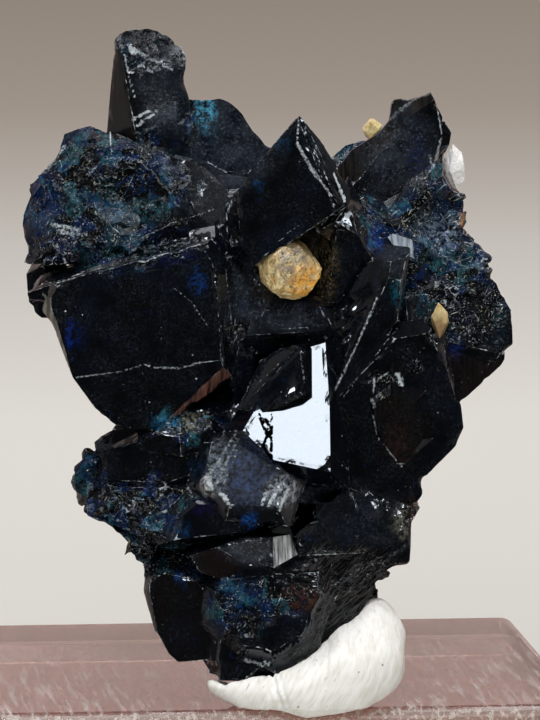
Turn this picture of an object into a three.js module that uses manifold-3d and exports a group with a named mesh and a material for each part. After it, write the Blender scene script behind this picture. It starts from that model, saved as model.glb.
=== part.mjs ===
// A lazulite specimen as it is displayed: a cluster of dark blue crystals grown together, a brown
// siderite crystal in a hollow at its middle, three small grains of siderite and quartz, and a lump
// of white putty that holds the cluster upright on a clear acrylic base.
// Millimetres, +Z up, the viewer looks along +Y. The origin is the middle of the base's underside.
import * as THREE from "three";
import { ConvexGeometry } from "three/addons/geometries/ConvexGeometry.js";
import { mergeVertices } from "three/addons/utils/BufferGeometryUtils.js";
import Module from "manifold-3d";

const wasm = await Module();
wasm.setup();

// Driving dimensions, in millimetres and degrees.
const BASE_WIDTH = 38; // a common square acrylic base
const BASE_THICKNESS = 10;
const BASE_CORNER = 1; // radius of its upright corners
const BASE_CHAMFER = 0.3;
const GRID_SQUARES = 60; // squares of the drawing grid across the base's width
const GRID = BASE_WIDTH / GRID_SQUARES; // one square, 0.63 mm
const VIEW_TURN = -6; // the drawing plane is turned on the base by this much
const LEAN = 8.3; // and leans back by this much
const DRAWING_AT = new THREE.Vector3(0.5, -13.6, BASE_THICKNESS + 1.09); // where the grid's origin stands
const GAP = 0.3; // left round a grain or the putty where it meets the cluster
const OVERLAP = 2.2; // grid squares that a crystal may spread under its neighbours
const RIM = 0.15; // grid squares that it may spread past the cluster's outline
const TAPER = 14; // its flanks then close in towards the back by this angle
const DROOP_GAP = 0.1; // between the putty's droop and the base's front
const SHOULDER = 3; // grid squares of slope at the far end of a flank

const radians = THREE.MathUtils.degToRad;

// A closed geometry as a solid that can be joined and cut.
function solidOf(geometry) {
  const bare = geometry.clone();
  bare.deleteAttribute("normal");
  bare.deleteAttribute("uv");
  const merged = mergeVertices(bare, 1e-4);
  const { array } = merged.attributes.position;
  const triVerts = new Uint32Array(merged.index.array);
  return new wasm.Manifold(new wasm.Mesh({ numProp: 3, vertProperties: array, triVerts }));
}

function geometryOf(solid) {
  const { vertProperties, triVerts } = solid.getMesh();
  const geometry = new THREE.BufferGeometry();
  geometry.setAttribute("position", new THREE.BufferAttribute(vertProperties, 3));
  geometry.setIndex(new THREE.BufferAttribute(triVerts, 1));
  geometry.computeVertexNormals();
  return geometry;
}

// The convex block inside a set of planes, each { normal, point }, in grid squares.
function blockOf(planes) {
  const rough = solidOf(new THREE.BoxGeometry(3 * BASE_WIDTH, 3 * BASE_WIDTH, 5 * BASE_WIDTH));
  return planes.reduce((block, { normal, point }) => {
    const inward = normal.clone().negate();
    return block.trimByPlane(inward.toArray(), inward.dot(point) * GRID);
  }, rough);
}

// The way a face looks: turned to the viewer's right and tipped upwards, in degrees.
function facing(turn, tip) {
  const [t, u] = [radians(turn), radians(tip)];
  return new THREE.Vector3(Math.sin(t) * Math.cos(u), -Math.cos(t) * Math.cos(u), Math.sin(u));
}

// The cluster's outline as the viewer sees it, clockwise from the foot of the tower: grid squares right and up.
const OUTLINE = [
  [-16.2, 55.2], [-15.6, 62.0], [-14.1, 64.8], [-12.3, 65.1], [-10.3, 64.8], [-9.1, 63.5], [-7.9, 58.5],
  [-6.2, 58.5], [-3.6, 57.5], [-1.2, 54.8], [0.7, 53.5], [3.1, 56.1], [5.4, 53.4], [6.2, 52.7], [7.7, 53.8],
  [10.0, 55.0], [12.0, 57.5], [14.4, 58.7], [16.1, 58.9], [17.5, 56.2], [18.5, 54.0], [19.7, 50.0],
  [19.6, 47.0], [21.2, 44.0], [23.5, 39.2], [24.6, 36.2], [24.5, 33.5], [23.7, 32.0], [21.0, 29.5],
  [18.8, 27.2], [18.9, 24.0], [15.7, 20.2], [14.4, 13.5], [11.7, 10.5], [10.2, 8.0], [7.2, 5.2], [4.2, 2.9],
  [2.2, 1.2], [-2.8, 0], [-5.2, 0], [-5.1, 1.5], [-9.0, 2.2], [-10.8, 4.0], [-12.7, 8.8], [-12.1, 10.8],
  [-14.3, 13.5], [-18.2, 16.6], [-19.5, 20.0], [-18.2, 22.8], [-15.1, 25.2], [-17.3, 27.2], [-19.3, 30.0],
  [-21.8, 35.9], [-24.0, 38.0], [-24.3, 42.5], [-24.6, 46.5], [-23.3, 50.5], [-20.8, 54.7], [-18.0, 55.7],
];

function insideOutline(x, z) {
  let inside = false;
  OUTLINE.forEach(([x1, z1], i) => {
    const [x2, z2] = OUTLINE[(i + 1) % OUTLINE.length];
    if (z1 > z !== z2 > z && x < x1 + ((z - z1) / (z2 - z1)) * (x2 - x1)) inside = !inside;
  });
  return inside;
}

// The flank behind an edge of the drawing: it stands a little outside the edge, closes in behind it and
// ends in a slope.
function flankOf(start, end, back) {
  const left = new THREE.Vector3(start.z - end.z, 0, end.x - start.x).normalize();
  const middle = start.clone().add(end).multiplyScalar(0.5).addScaledVector(left, 0.8);
  const spread = insideOutline(middle.x, middle.z) ? OVERLAP : RIM;
  const normal = left.clone().multiplyScalar(Math.cos(radians(TAPER)));
  normal.y += Math.sin(radians(TAPER));
  const point = start.clone().addScaledVector(left, spread);
  const length = back - SHOULDER - start.y;
  const far = point.clone().addScaledVector(left, -length * Math.tan(radians(TAPER)));
  far.y = back - SHOULDER;
  const slope = left.clone().setY(1).normalize();
  return [{ normal, point }, { normal: slope, point: far }];
}

// A crystal, drawn from its main face. at is a point of that face: grid squares right, up, and
// towards the viewer. Each edge runs clockwise round the face it belongs to, [right, up, right, up],
// and the crystal falls away behind it by fold degrees. The last number says which face the edge
// belongs to: 0 is the main face, and 1 onwards are the faces behind the edges before it.
// back is how far behind the drawing plane the crystal ends.
function crystal({ at: [right, up, out], turn = 0, tip = 0, back, edges }) {
  const faces = [{ normal: facing(turn, tip), point: new THREE.Vector3(right, -out, up) }];
  const flanks = [];
  for (const [x1, z1, x2, z2, fold, on = 0] of edges) {
    const { normal, point } = faces[on];
    const reach = normal.dot(point);
    const onFace = (x, z) => new THREE.Vector3(x, (reach - normal.x * x - normal.z * z) / normal.y, z);
    const [start, end] = [onFace(x1, z1), onFace(x2, z2)];
    const along = end.clone().sub(start).normalize();
    const outward = normal.clone().cross(along);
    const turned = normal
      .clone()
      .multiplyScalar(Math.cos(radians(fold)))
      .addScaledVector(outward, Math.sin(radians(fold)));
    const split = edges.some((edge) => edge[5] === faces.length);
    if (!split) flanks.push(...flankOf(start, end, back));
    faces.push({ normal: turned, point: start });
  }
  const rear = { normal: new THREE.Vector3(0, 1, 0), point: new THREE.Vector3(right, back, up) };
  return blockOf([...faces, ...flanks, rear]);
}

// A repeatable stream of numbers from 0 to 1.
function dice(seed) {
  let state = seed * 7919 + 17;
  return () => {
    state = (state * 16807) % 2147483647;
    return state / 2147483647;
  };
}

// An irregular broken grain, cut by planes that face all ways: its middle and half sizes in grid squares.
function grain([right, up, out], [wide, high, deep], seed, faces = 13) {
  const next = dice(seed);
  const middle = new THREE.Vector3(right, -out, up);
  const planes = [];
  for (let i = 0; i < faces; i++) {
    const height = 1 - (2 * i + 1) / faces;
    const round = Math.sqrt(1 - height * height);
    const turn = i * 2.4 + next() * 0.9;
    const normal = new THREE.Vector3(round * Math.cos(turn), round * Math.sin(turn), height);
    const reach = 0.78 + 0.22 * next();
    const foot = normal.clone().multiply(new THREE.Vector3(wide, deep, high)).multiplyScalar(reach);
    const tilted = normal.clone().divide(new THREE.Vector3(wide, deep, high)).normalize();
    planes.push({ normal: tilted, point: middle.clone().add(foot) });
  }
  return blockOf(planes);
}

// The crystals of the front, from the top of the cluster down. Positions are grid squares.
const FRONT = {
  tower: {
    at: [-11.3, 59.5, -2], turn: 8, tip: 6, back: 12,
    edges: [
      [-13.4, 55.3, -14.8, 63.1, 52], [-14.8, 63.1, -9.0, 61.0, 34], [-8.8, 61.2, -7.9, 58.4, 62],
      [-7.9, 58.4, -7.7, 54.5, 78], [-7.7, 46, -13.8, 46, 90], [-16.2, 55.2, -15.6, 62.0, 48, 1],
      [-15.6, 62.0, -14.9, 63.7, 40, 1], [-14.9, 63.7, -14.0, 64.9, 62, 2], [-14.0, 64.9, -12.2, 65.1, 64, 2],
      [-12.2, 65.1, -9.8, 64.4, 62, 2], [-9.8, 64.4, -8.8, 62.8, 58, 2],
    ],
  },
  shoulder: {
    at: [-3.3, 54.5, -5], turn: 18, tip: 14, back: 14,
    edges: [
      [-7.6, 58.3, -5.0, 58.2, 66], [-5.0, 58.2, -2.2, 55.8, 60], [-2.2, 55.8, 0.4, 53.4, 66],
      [0.4, 53.4, -0.6, 50.5, 60], [-0.6, 50.5, -6.3, 51.5, 40], [-6.8, 51.5, -7.6, 58.3, 40],
    ],
  },
  greySlope: {
    at: [-7.8, 49.5, 2.4], turn: 16, tip: 18, back: 12,
    edges: [
      [-13.3, 53.1, -7.2, 51.8, 62], [-7.2, 51.8, -3.9, 48.8, 52], [-3.9, 48.8, -4.2, 47.2, 66],
      [-5.2, 47.0, -12.8, 43.7, 48], [-11.8, 43.0, -13.3, 53.1, 22],
    ],
  },
  leftBoulder: {
    at: [-17.3, 48.5, 4], turn: -10, tip: 8, back: 10,
    edges: [
      [-21.6, 44.5, -21.2, 50.5, 34], [-21.2, 50.5, -17.8, 53.2, 38], [-17.8, 53.2, -13.2, 53.0, 44],
      [-13.2, 53.0, -9.6, 49.0, 36], [-9.6, 49.0, -9.8, 45.2, 40], [-9.8, 45.2, -14.5, 43.2, 52],
      [-14.5, 43.2, -21.6, 43.0, 48], [-24.5, 44.0, -24.6, 46.5, 44, 1], [-24.6, 46.5, -22.3, 52.0, 44, 1],
      [-22.3, 52.0, -20.7, 54.6, 50, 2], [-20.7, 54.6, -18.0, 55.6, 52, 2], [-18.0, 55.6, -15.9, 54.9, 56, 3],
    ],
  },
  ledge: {
    at: [-14.0, 42.2, 5.4], turn: -4, tip: 34, back: 8,
    edges: [
      [-23.8, 39.6, -23.6, 41.8, 52], [-23.6, 41.8, -20.5, 42.4, 40], [-20.5, 42.4, -11.0, 44.3, 34],
      [-11.0, 44.3, -5.4, 47.0, 40], [-5.4, 47.0, -5.2, 43.6, 50], [-5.2, 43.2, -19.0, 39.9, 66],
      [-19.0, 39.9, -23.8, 39.4, 66],
    ],
  },
  leftTab: {
    at: [-23.3, 38.4, 0], turn: -14, tip: -8, back: 6,
    edges: [
      [-24.0, 37.8, -24.2, 40.6, 92], [-24.2, 40.6, -22.6, 41.4, 70], [-22.6, 41.4, -20.0, 38.0, 30],
      [-20.0, 36.0, -22.0, 36.2, 92], [-22.0, 36.2, -24.0, 37.8, 92],
    ],
  },
  bigLeft: {
    at: [-12.8, 36.0, 8], turn: -4, tip: -2, back: 6,
    edges: [
      [-19.4, 30.1, -21.6, 37.9, 62], [-21.6, 37.9, -20.9, 39.2, 54], [-20.9, 39.2, -18.8, 40.2, 62],
      [-18.8, 40.2, -7.1, 43.2, 84], [-7.1, 43.2, -5.2, 40.8, 58], [-5.2, 40.8, -4.6, 31.8, 58],
      [-4.6, 31.8, -19.4, 30.1, 15], [-16.9, 26.7, -19.4, 30.1, 76, 7], [-14.0, 25.0, -16.9, 26.7, 76, 7],
      [-11.0, 24.9, -14.0, 25.0, 72, 7], [-5.0, 30.6, -11.0, 24.9, 34, 7], [-4.8, 29.2, -8.5, 26.7, 44, 11],
      [-19.4, 30.1, -23.0, 39.0, 44, 1],
    ],
  },
  greyWedge: {
    at: [-2.6, 38.5, 6.2], turn: -6, tip: 4, back: 6,
    edges: [
      [-3.7, 34.5, -4.3, 41.8, 62], [-4.3, 41.8, -3.0, 42.8, 60], [-3.0, 42.8, -1.1, 40.4, 58],
      [-1.1, 40.4, -0.2, 36.8, 34], [-0.2, 36.8, -1.8, 34.7, 44], [-1.8, 34.7, -3.7, 35.5, 36],
    ],
  },
  blackWedge: {
    at: [-3.7, 32.5, 6.4], turn: -18, tip: -2, back: 6,
    edges: [
      [-3.6, 29.4, -4.8, 34.4, 52], [-4.8, 34.4, -3.2, 34.6, 60], [-3.2, 34.6, -2.9, 33.0, 50],
      [-2.9, 33.0, -3.6, 29.4, 50],
    ],
  },
  centrePoint: {
    at: [1.7, 49.0, 9], turn: -10, tip: 4, back: 8,
    edges: [
      [-1.3, 41.2, -2.8, 43.2, 56], [-2.8, 43.2, -3.0, 48.5, 60], [-3.0, 48.5, 0.7, 53.4, 70],
      [0.7, 53.4, 2.9, 55.9, 70], [2.9, 55.9, 6.5, 47.0, 20], [7.0, 46.6, -1.3, 41.2, 92],
      [3.5, 55.7, 7.7, 47.2, 26, 5], [3.2, 56.0, 5.4, 53.4, 70, 7], [5.4, 53.4, 8.1, 48.8, 88, 7],
      [8.1, 48.8, 8.3, 45.6, 92, 7],
    ],
  },
  brightChip: {
    at: [7.8, 45.8, 7.4], turn: 6, tip: 14, back: 2,
    edges: [
      [6.7, 45.6, 7.8, 47.4, 55], [7.8, 47.4, 8.8, 45.3, 50], [8.8, 45.3, 9.0, 44.2, 50],
      [9.0, 44.2, 6.7, 45.6, 50],
    ],
  },
  hollowWall: {
    at: [8.2, 42.8, 7], turn: 10, tip: -8, back: 6,
    edges: [
      [6.0, 38.2, 6.8, 44.8, 72], [6.8, 44.8, 9.0, 44.6, 42], [9.0, 44.6, 10.1, 42.8, 50],
      [10.1, 42.8, 8.9, 40.9, 40], [8.9, 40.9, 7.0, 37.6, 30], [7.0, 37.6, 6.0, 37.6, 40],
    ],
  },
  hollowBack: {
    at: [2.5, 41.5, 3.0], turn: 0, tip: -4, back: 6,
    edges: [
      [-2.4, 36, -2.4, 46, 60], [-2.4, 46, 7.5, 48, 60], [7.5, 48, 8.0, 36, 60], [8.0, 36, -2.4, 36, 60],
    ],
  },
  shelf: {
    at: [2.2, 36.3, 6.4], turn: 3, tip: 14, back: 6,
    edges: [
      [-1.4, 38.0, 6.7, 38.3, 70], [6.7, 38.3, 6.5, 34.8, 40], [6.5, 34.8, -2.0, 34.3, 58],
      [-2.0, 34.3, -1.4, 38.0, 40],
    ],
  },
  whiteFace: {
    at: [3.2, 24.5, 9], turn: 6, tip: 14, back: 6,
    edges: [
      [-2.5, 24.8, -0.6, 28.0, 50], [-0.6, 28.0, 3.7, 33.0, 50], [3.7, 33.0, 5.7, 33.6, 60],
      [5.7, 33.6, 6.1, 27.3, 46], [6.1, 27.3, 6.2, 20.7, 50], [6.2, 20.7, 0.6, 21.9, 76],
      [0.6, 21.9, -2.5, 24.8, 66],
    ],
  },
  darkPlate: {
    at: [1.2, 29.5, 9.3], turn: -14, tip: 0, back: 4,
    edges: [
      [-2.8, 26.9, 3.1, 33.1, 32], [3.1, 33.1, 3.5, 32.5, 84], [3.5, 32.5, 3.8, 28.3, 88],
      [3.8, 28.3, 1.6, 27.2, 84], [1.6, 27.2, -0.6, 26.6, 78], [-0.6, 26.6, -2.8, 26.9, 66],
      [-3.0, 27.2, -0.8, 31.8, 48, 1], [-0.8, 31.8, 1.2, 33.0, 56, 1], [1.2, 33.0, 3.2, 33.4, 64, 1],
    ],
  },
  longRidge: {
    at: [8.7, 36.0, 6.2], turn: -25, tip: 2, back: 6,
    edges: [
      [6.5, 28.5, 6.1, 33.5, 38], [6.1, 33.5, 7.7, 38.8, 38], [7.7, 38.8, 10.4, 42.0, 40],
      [10.4, 42.0, 12.2, 41.6, 55], [12.2, 41.6, 12.0, 40.0, 50], [12.0, 40.0, 6.7, 28.6, 50],
      [13.2, 39.7, 12.9, 35.8, 40, 6], [12.9, 35.8, 8.0, 28.4, 38, 6],
    ],
  },
  rightPoint: {
    at: [13.7, 53.0, -1], turn: 8, tip: -6, back: 14,
    edges: [
      [10.4, 45.1, 8.2, 49.0, 40], [8.2, 49.0, 15.9, 58.7, 36], [16.2, 58.9, 17.4, 56.5, 82],
      [17.4, 56.5, 17.5, 54.5, 82], [17.5, 54.5, 16.5, 51.4, 72], [16.5, 51.4, 13.7, 47.8, 66],
      [13.7, 47.8, 10.4, 45.1, 60], [6.8, 51.2, 12.0, 57.4, 48, 2], [12.0, 57.4, 14.3, 58.7, 50, 2],
    ],
  },
  pointBehind: {
    at: [8.4, 53.0, -6], turn: -10, tip: 18, back: 12,
    edges: [
      [7.0, 50.0, 6.2, 52.5, 70], [6.2, 52.5, 7.7, 53.9, 66], [7.7, 53.9, 10.6, 55.2, 66],
      [10.6, 55.2, 12.0, 50.0, 40], [12.0, 50.0, 7.0, 50.0, 50],
    ],
  },
  rightStub: {
    at: [17.9, 54.5, -5.5], turn: 14, tip: 6, back: 12,
    edges: [
      [15.0, 52.0, 16.4, 56.4, 30], [16.4, 56.4, 17.8, 56.2, 60], [17.8, 56.2, 18.5, 55.0, 72],
      [18.5, 55.0, 18.2, 53.0, 82], [18.2, 53.0, 15.0, 52.0, 50],
    ],
  },
  underWedge: {
    at: [13.7, 46.5, 2], turn: 12, tip: -14, back: 8,
    edges: [
      [10.4, 44.8, 15.2, 48.4, 50], [15.2, 48.4, 17.3, 51.2, 50], [17.3, 51.2, 17.5, 49.6, 70],
      [17.5, 49.6, 14.7, 46.4, 50], [14.7, 46.4, 10.9, 44.2, 50], [10.9, 44.2, 10.4, 44.8, 60],
    ],
  },
  greyTriangle: {
    at: [13.4, 43.7, 3.4], turn: 22, tip: 24, back: 6,
    edges: [
      [13.0, 42.7, 11.9, 44.2, 50], [11.9, 44.2, 14.0, 45.5, 60], [14.0, 45.5, 14.8, 42.0, 46],
      [14.8, 42.0, 13.0, 42.7, 50],
    ],
  },
  rightMiddle: {
    at: [17.2, 44.0, 0], turn: 24, tip: 10, back: 12,
    edges: [
      [10.0, 41.8, 10.6, 45.2, 40], [10.6, 45.2, 17.2, 50.2, 50], [17.2, 50.2, 19.4, 49.2, 62],
      [19.4, 49.2, 19.7, 46.4, 80], [19.7, 46.4, 22.8, 40.4, 84], [22.8, 40.4, 17.2, 39.0, 40],
      [17.2, 39.0, 10.0, 41.8, 30],
    ],
  },
  rightBlack: {
    at: [18.7, 37.0, 2], turn: 18, tip: 4, back: 10,
    edges: [
      [14.0, 35.2, 13.7, 38.0, 40], [13.7, 38.0, 17.2, 39.8, 46], [17.2, 39.8, 22.5, 40.2, 60],
      [22.5, 40.2, 24.4, 37.0, 62], [24.4, 37.0, 24.5, 33.6, 80], [24.5, 33.6, 23.2, 32.6, 60],
      [23.2, 32.6, 16.2, 34.2, 40], [16.2, 34.2, 14.0, 35.2, 40],
    ],
  },
  rightBrown: {
    at: [20.7, 31.5, 0.6], turn: 14, tip: -24, back: 8,
    edges: [
      [18.8, 27.3, 17.7, 33.0, 40], [17.7, 33.0, 20.2, 33.8, 50], [20.2, 33.8, 23.7, 32.8, 50],
      [23.7, 32.8, 23.7, 31.8, 84], [23.7, 31.8, 21.0, 29.3, 92], [21.0, 29.3, 18.8, 27.3, 92],
    ],
  },
  rightDark: {
    at: [13.2, 26.0, 5.2], turn: 12, tip: -6, back: 8,
    edges: [
      [6.3, 20.7, 6.3, 27.5, 58], [6.3, 27.5, 12.7, 34.0, 44], [12.7, 34.0, 16.0, 34.6, 58],
      [16.0, 34.6, 17.9, 30.8, 44], [17.9, 30.8, 18.9, 27.2, 60], [18.9, 27.2, 18.9, 24.6, 94],
      [18.9, 24.6, 15.6, 20.2, 94], [15.6, 20.2, 14.4, 17.5, 82], [14.4, 17.5, 8.4, 19.0, 44],
      [8.4, 19.0, 6.3, 20.7, 50],
    ],
  },
  brownFace: {
    at: [12.6, 24.5, 5.6], turn: 2, tip: -14, back: 2,
    edges: [
      [10.6, 25.4, 10.6, 27.6, 50], [10.6, 27.6, 12.4, 28.4, 50], [12.4, 28.4, 14.5, 27.6, 50],
      [14.5, 27.6, 14.6, 24.0, 50], [14.6, 24.0, 13.6, 21.6, 50], [13.6, 21.6, 12.9, 21.6, 50],
      [12.9, 21.6, 10.6, 25.4, 36],
    ],
  },
  lowerLeft: {
    at: [-11.3, 22.0, 5.2], turn: -6, tip: 2, back: 6,
    edges: [
      [-16.3, 20.2, -16.4, 22.5, 52], [-16.4, 22.5, -11.6, 24.7, 44], [-11.6, 24.7, -6.5, 24.2, 60],
      [-6.5, 24.2, -6.2, 21.0, 50], [-6.2, 21.0, -10.3, 19.6, 40], [-10.3, 19.6, -16.3, 20.0, 44],
      [-17.2, 22.4, -15.0, 25.0, 46, 2], [-15.0, 25.0, -11.8, 25.2, 50, 2],
    ],
  },
  granularSlope: {
    at: [-11.8, 16.8, 5.8], turn: -8, tip: 12, back: 6,
    edges: [
      [-17.3, 16.3, -18.1, 17.7, 62], [-18.1, 17.7, -16.0, 19.4, 42], [-16.0, 19.4, -7.0, 19.2, 44],
      [-7.0, 19.2, -7.2, 16.3, 40], [-7.2, 16.3, -9.6, 14.2, 44], [-9.6, 14.2, -13.5, 14.4, 72],
      [-13.5, 14.4, -17.3, 16.3, 80],
    ],
  },
  thinLedge: {
    at: [-13.0, 13.2, 1.2], turn: -16, tip: -10, back: 6,
    edges: [
      [-14.1, 12.8, -15.6, 14.8, 84], [-15.6, 14.8, -11.8, 14.6, 50], [-11.8, 14.6, -11.6, 11.0, 40],
      [-11.6, 11.0, -12.8, 11.4, 84], [-12.8, 11.4, -14.1, 12.8, 84],
    ],
  },
  tealCrumble: {
    at: [-8.3, 25.4, 6.8], turn: -4, tip: 20, back: 4,
    edges: [
      [-11.4, 24.6, -8.5, 26.9, 50], [-8.5, 26.9, -5.9, 27.0, 50], [-5.9, 27.0, -5.6, 25.0, 50],
      [-5.6, 25.0, -8.8, 24.2, 50], [-8.8, 24.2, -11.4, 24.5, 50],
    ],
  },
  fracturePlate: {
    at: [-2.3, 21.0, 9.0], turn: -8, tip: 20, back: 4,
    edges: [
      [-6.4, 19.7, -5.6, 23.7, 44], [-5.6, 23.7, -3.0, 25.3, 50], [-3.0, 25.3, 0.7, 21.9, 40],
      [0.7, 21.9, 2.2, 20.3, 62], [2.2, 20.3, 1.0, 17.2, 64], [1.0, 17.2, -3.8, 17.5, 60],
      [-3.8, 17.5, -6.4, 19.7, 58],
    ],
  },
  violetFaces: {
    at: [-3.3, 16.2, 8.6], turn: -4, tip: -6, back: 4,
    edges: [
      [-9.2, 14.0, -8.6, 16.2, 50], [-8.6, 16.2, -5.6, 18.9, 44], [-5.6, 18.9, -3.6, 17.4, 40],
      [-3.6, 17.4, 0.8, 17.2, 50], [0.8, 17.2, 1.6, 16.2, 50], [1.6, 16.2, -3.2, 14.7, 72],
      [-3.2, 14.7, -9.2, 14.0, 72],
    ],
  },
  greyStep: {
    at: [-1.8, 12.8, 8.0], turn: -3, tip: 18, back: 4,
    edges: [
      [-2.4, 11.7, -5.1, 13.3, 30], [-5.1, 13.3, -2.8, 14.2, 60], [-2.8, 14.2, 0.5, 14.3, 60],
      [0.5, 14.3, 0.6, 11.3, 28], [0.6, 11.3, -2.4, 11.7, 36], [-6.3, 10.0, -8.3, 13.2, 50, 1],
      [0.4, 10.9, -6.3, 10.0, 50, 1], [3.1, 16.0, 3.2, 12.7, 42, 4], [3.2, 12.7, 0.6, 11.2, 44, 4],
    ],
  },
  rightLower: {
    at: [7.7, 15.5, 6.0], turn: 8, tip: 8, back: 8,
    edges: [
      [3.0, 12.6, 1.4, 18.0, 40], [1.4, 18.0, 3.0, 20.4, 46], [3.0, 20.4, 6.7, 20.4, 50],
      [6.7, 20.4, 12.7, 17.7, 40], [12.7, 17.7, 14.3, 16.8, 60], [14.3, 16.8, 14.2, 13.2, 84],
      [14.2, 13.2, 9.8, 12.9, 46], [9.8, 12.9, 3.0, 12.6, 38],
    ],
  },
  bottomFront: {
    at: [-0.3, 7.0, 8.2], turn: -3, tip: 2, back: 4,
    edges: [
      [-5.2, 6.5, -5.2, 8.8, 54], [-5.2, 8.8, -4.0, 10.0, 50], [-4.0, 10.0, 0.0, 10.6, 50],
      [0.0, 10.6, 5.0, 10.8, 50], [5.0, 10.8, 5.4, 8.8, 62], [5.4, 8.8, 3.2, 4.8, 58],
      [3.2, 4.8, 0.2, 3.2, 44], [0.2, 3.2, -2.3, 3.5, 44], [-2.3, 3.5, -4.3, 5.2, 44],
      [-4.3, 5.2, -5.2, 6.5, 50],
    ],
  },
  striatedSlab: {
    at: [6.2, 7.0, 5.4], turn: 14, tip: -22, back: 8,
    edges: [
      [-2.3, 0.1, -0.6, 2.5, 40], [-0.6, 2.5, 5.4, 9.0, 40], [5.4, 9.0, 14.0, 13.2, 76],
      [14.2, 15.0, 14.0, 12.8, 94], [14.3, 13.2, 11.5, 9.6, 94], [11.5, 9.6, 7.2, 5.0, 94], [7.2, 5.0, 2.4, 1.2, 94],
      [2.4, 1.2, -2.3, 0.1, 94],
    ],
  },
  bottomTip: {
    at: [-2.8, 2.0, 7.2], turn: -5, tip: 4, back: 4,
    edges: [
      [-5.1, 0.1, -4.6, 5.2, 52], [-4.6, 5.2, 2.4, 4.0, 40], [2.4, 4.0, -0.6, 1.6, 30],
      [-0.6, 1.6, -2.5, -0.1, 30], [-2.5, -0.1, -5.1, 0.1, 82],
    ],
  },
  bottomLeft: {
    at: [-8.3, 6.0, 5.4], turn: -8, tip: -8, back: 4,
    edges: [
      [-11.0, 4.7, -12.0, 10.0, 50], [-12.0, 10.0, -10.3, 10.7, 60], [-10.3, 10.7, -7.1, 10.1, 54],
      [-7.1, 10.1, -5.2, 6.8, 50], [-5.2, 6.8, -4.8, 1.9, 60], [-4.8, 1.9, -8.3, 2.3, 82],
      [-8.3, 2.3, -11.0, 4.7, 78], [-11.3, 5.0, -12.7, 9.8, 46, 1],
    ],
  },
};

// The crystals of the back, as seen from behind, each a blunt block: its middle, its half sizes, the way
// its main face looks from there, and a number that picks its irregular outline.
const REAR = [
  { at: [-11, 46, 10], size: [7, 7], turn: -16, tip: 20, seed: 4 },
  { at: [8, 46, 11], size: [8, 7], turn: 10, tip: 18, seed: 9 },
  { at: [12, 54, 8], size: [3.6, 7], turn: 4, tip: 8, seed: 61 },
  { at: [-14, 36, 10], size: [7, 7], turn: -28, tip: 2, seed: 15 },
  { at: [-1, 39, 15], size: [9, 8], turn: 4, tip: 6, seed: 22 },
  { at: [15, 41, 10], size: [7, 7], turn: 26, tip: 4, seed: 27 },
  { at: [-7, 27, 13], size: [8, 8], turn: -10, tip: -8, seed: 33 },
  { at: [8, 27, 12], size: [7, 8], turn: 16, tip: -6, seed: 40 },
  { at: [1, 16, 10], size: [8, 6], turn: -4, tip: -16, seed: 46 },
  { at: [2, 9, 5], size: [5, 4], turn: 6, tip: -24, seed: 51 },
];

// One crystal of the back: an uneven five- or six-sided face with its flanks, turned round to the back.
function rearCrystal({ at: [right, up, out], size: [wide, high], turn, tip, seed }) {
  const next = dice(seed);
  const sides = next() < 0.5 ? 5 : 6;
  const corners = [];
  for (let i = 0; i < sides; i++) {
    const angle = -((i + 0.5 * next()) / sides) * 2 * Math.PI;
    const reach = 0.8 + 0.2 * next();
    corners.push([right + wide * reach * Math.cos(angle), up + high * reach * Math.sin(angle)]);
  }
  const edges = corners.map(([x, z], i) => [x, z, ...corners[(i + 1) % sides], 38 + 36 * next()]);
  const block = crystal({ at: [right, up, out], turn, tip, back: -4, edges });
  return block.rotate([0, 0, 180]);
}

// The body that the crystals grow from: three rough boulders inside the outline, [middle], [half sizes], number.
const CORE = [
  [[-5, 43, -4], [16, 9, 9], 3],
  [[8, 40, -4], [13, 11, 9], 6],
  [[0, 22, -2], [14, 13, 8], 11],
  [[0, 9, 0], [6, 6, 4], 17],
];

// Small broken blocks fused onto the rough places: [middle], size, number of blocks, spread right, up and out.
const CRUMBS = [
  { at: [-21.5, 48, 1.5], size: 1.3, count: 9, spread: [1.6, 4.2, 0.8] },
  { at: [-17.5, 42.8, 4.6], size: 0.9, count: 14, spread: [5.2, 1.0, 0.6] },
  { at: [-17.6, 20.2, 3.2], size: 0.9, count: 8, spread: [0.7, 2.6, 1.0] },
  { at: [-12.5, 17.0, 5.4], size: 0.8, count: 16, spread: [3.8, 1.6, 0.4] },
  { at: [-8.4, 25.6, 6.6], size: 0.7, count: 7, spread: [2.2, 0.7, 0.3] },
  { at: [18.0, 45.0, 0.4], size: 1.1, count: 18, spread: [2.6, 4.2, 0.7] },
  { at: [19.5, 38.5, 2.0], size: 0.9, count: 10, spread: [3.6, 1.2, 0.5] },
  { at: [-12.6, 12.4, 3.2], size: 0.9, count: 8, spread: [1.4, 1.6, 1.2] },
  { at: [11.8, 9.4, 1.5], size: 0.9, count: 7, spread: [1.4, 1.6, 1.2] },
  { at: [7.0, 5.6, 2.5], size: 0.8, count: 7, spread: [2.0, 1.4, 1.2] },
  { at: [-3.0, 46.0, 3.0], size: 0.9, count: 5, spread: [0.8, 2.0, 0.8] },
];

function crumbsOf({ at, size, count, spread }, row) {
  const next = dice(101 + row);
  const blocks = [];
  while (blocks.length < count) {
    const middle = at.map((value, axis) => value + spread[axis] * (2 * next() - 1));
    const half = size * (0.55 + 0.6 * next());
    const halves = [half, half * (0.6 + 0.5 * next()), half];
    const seed = 1 + Math.floor(next() * 900);
    if (insideOutline(middle[0], middle[1])) blocks.push(grain(middle, halves, seed, 9));
  }
  return blocks;
}

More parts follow.
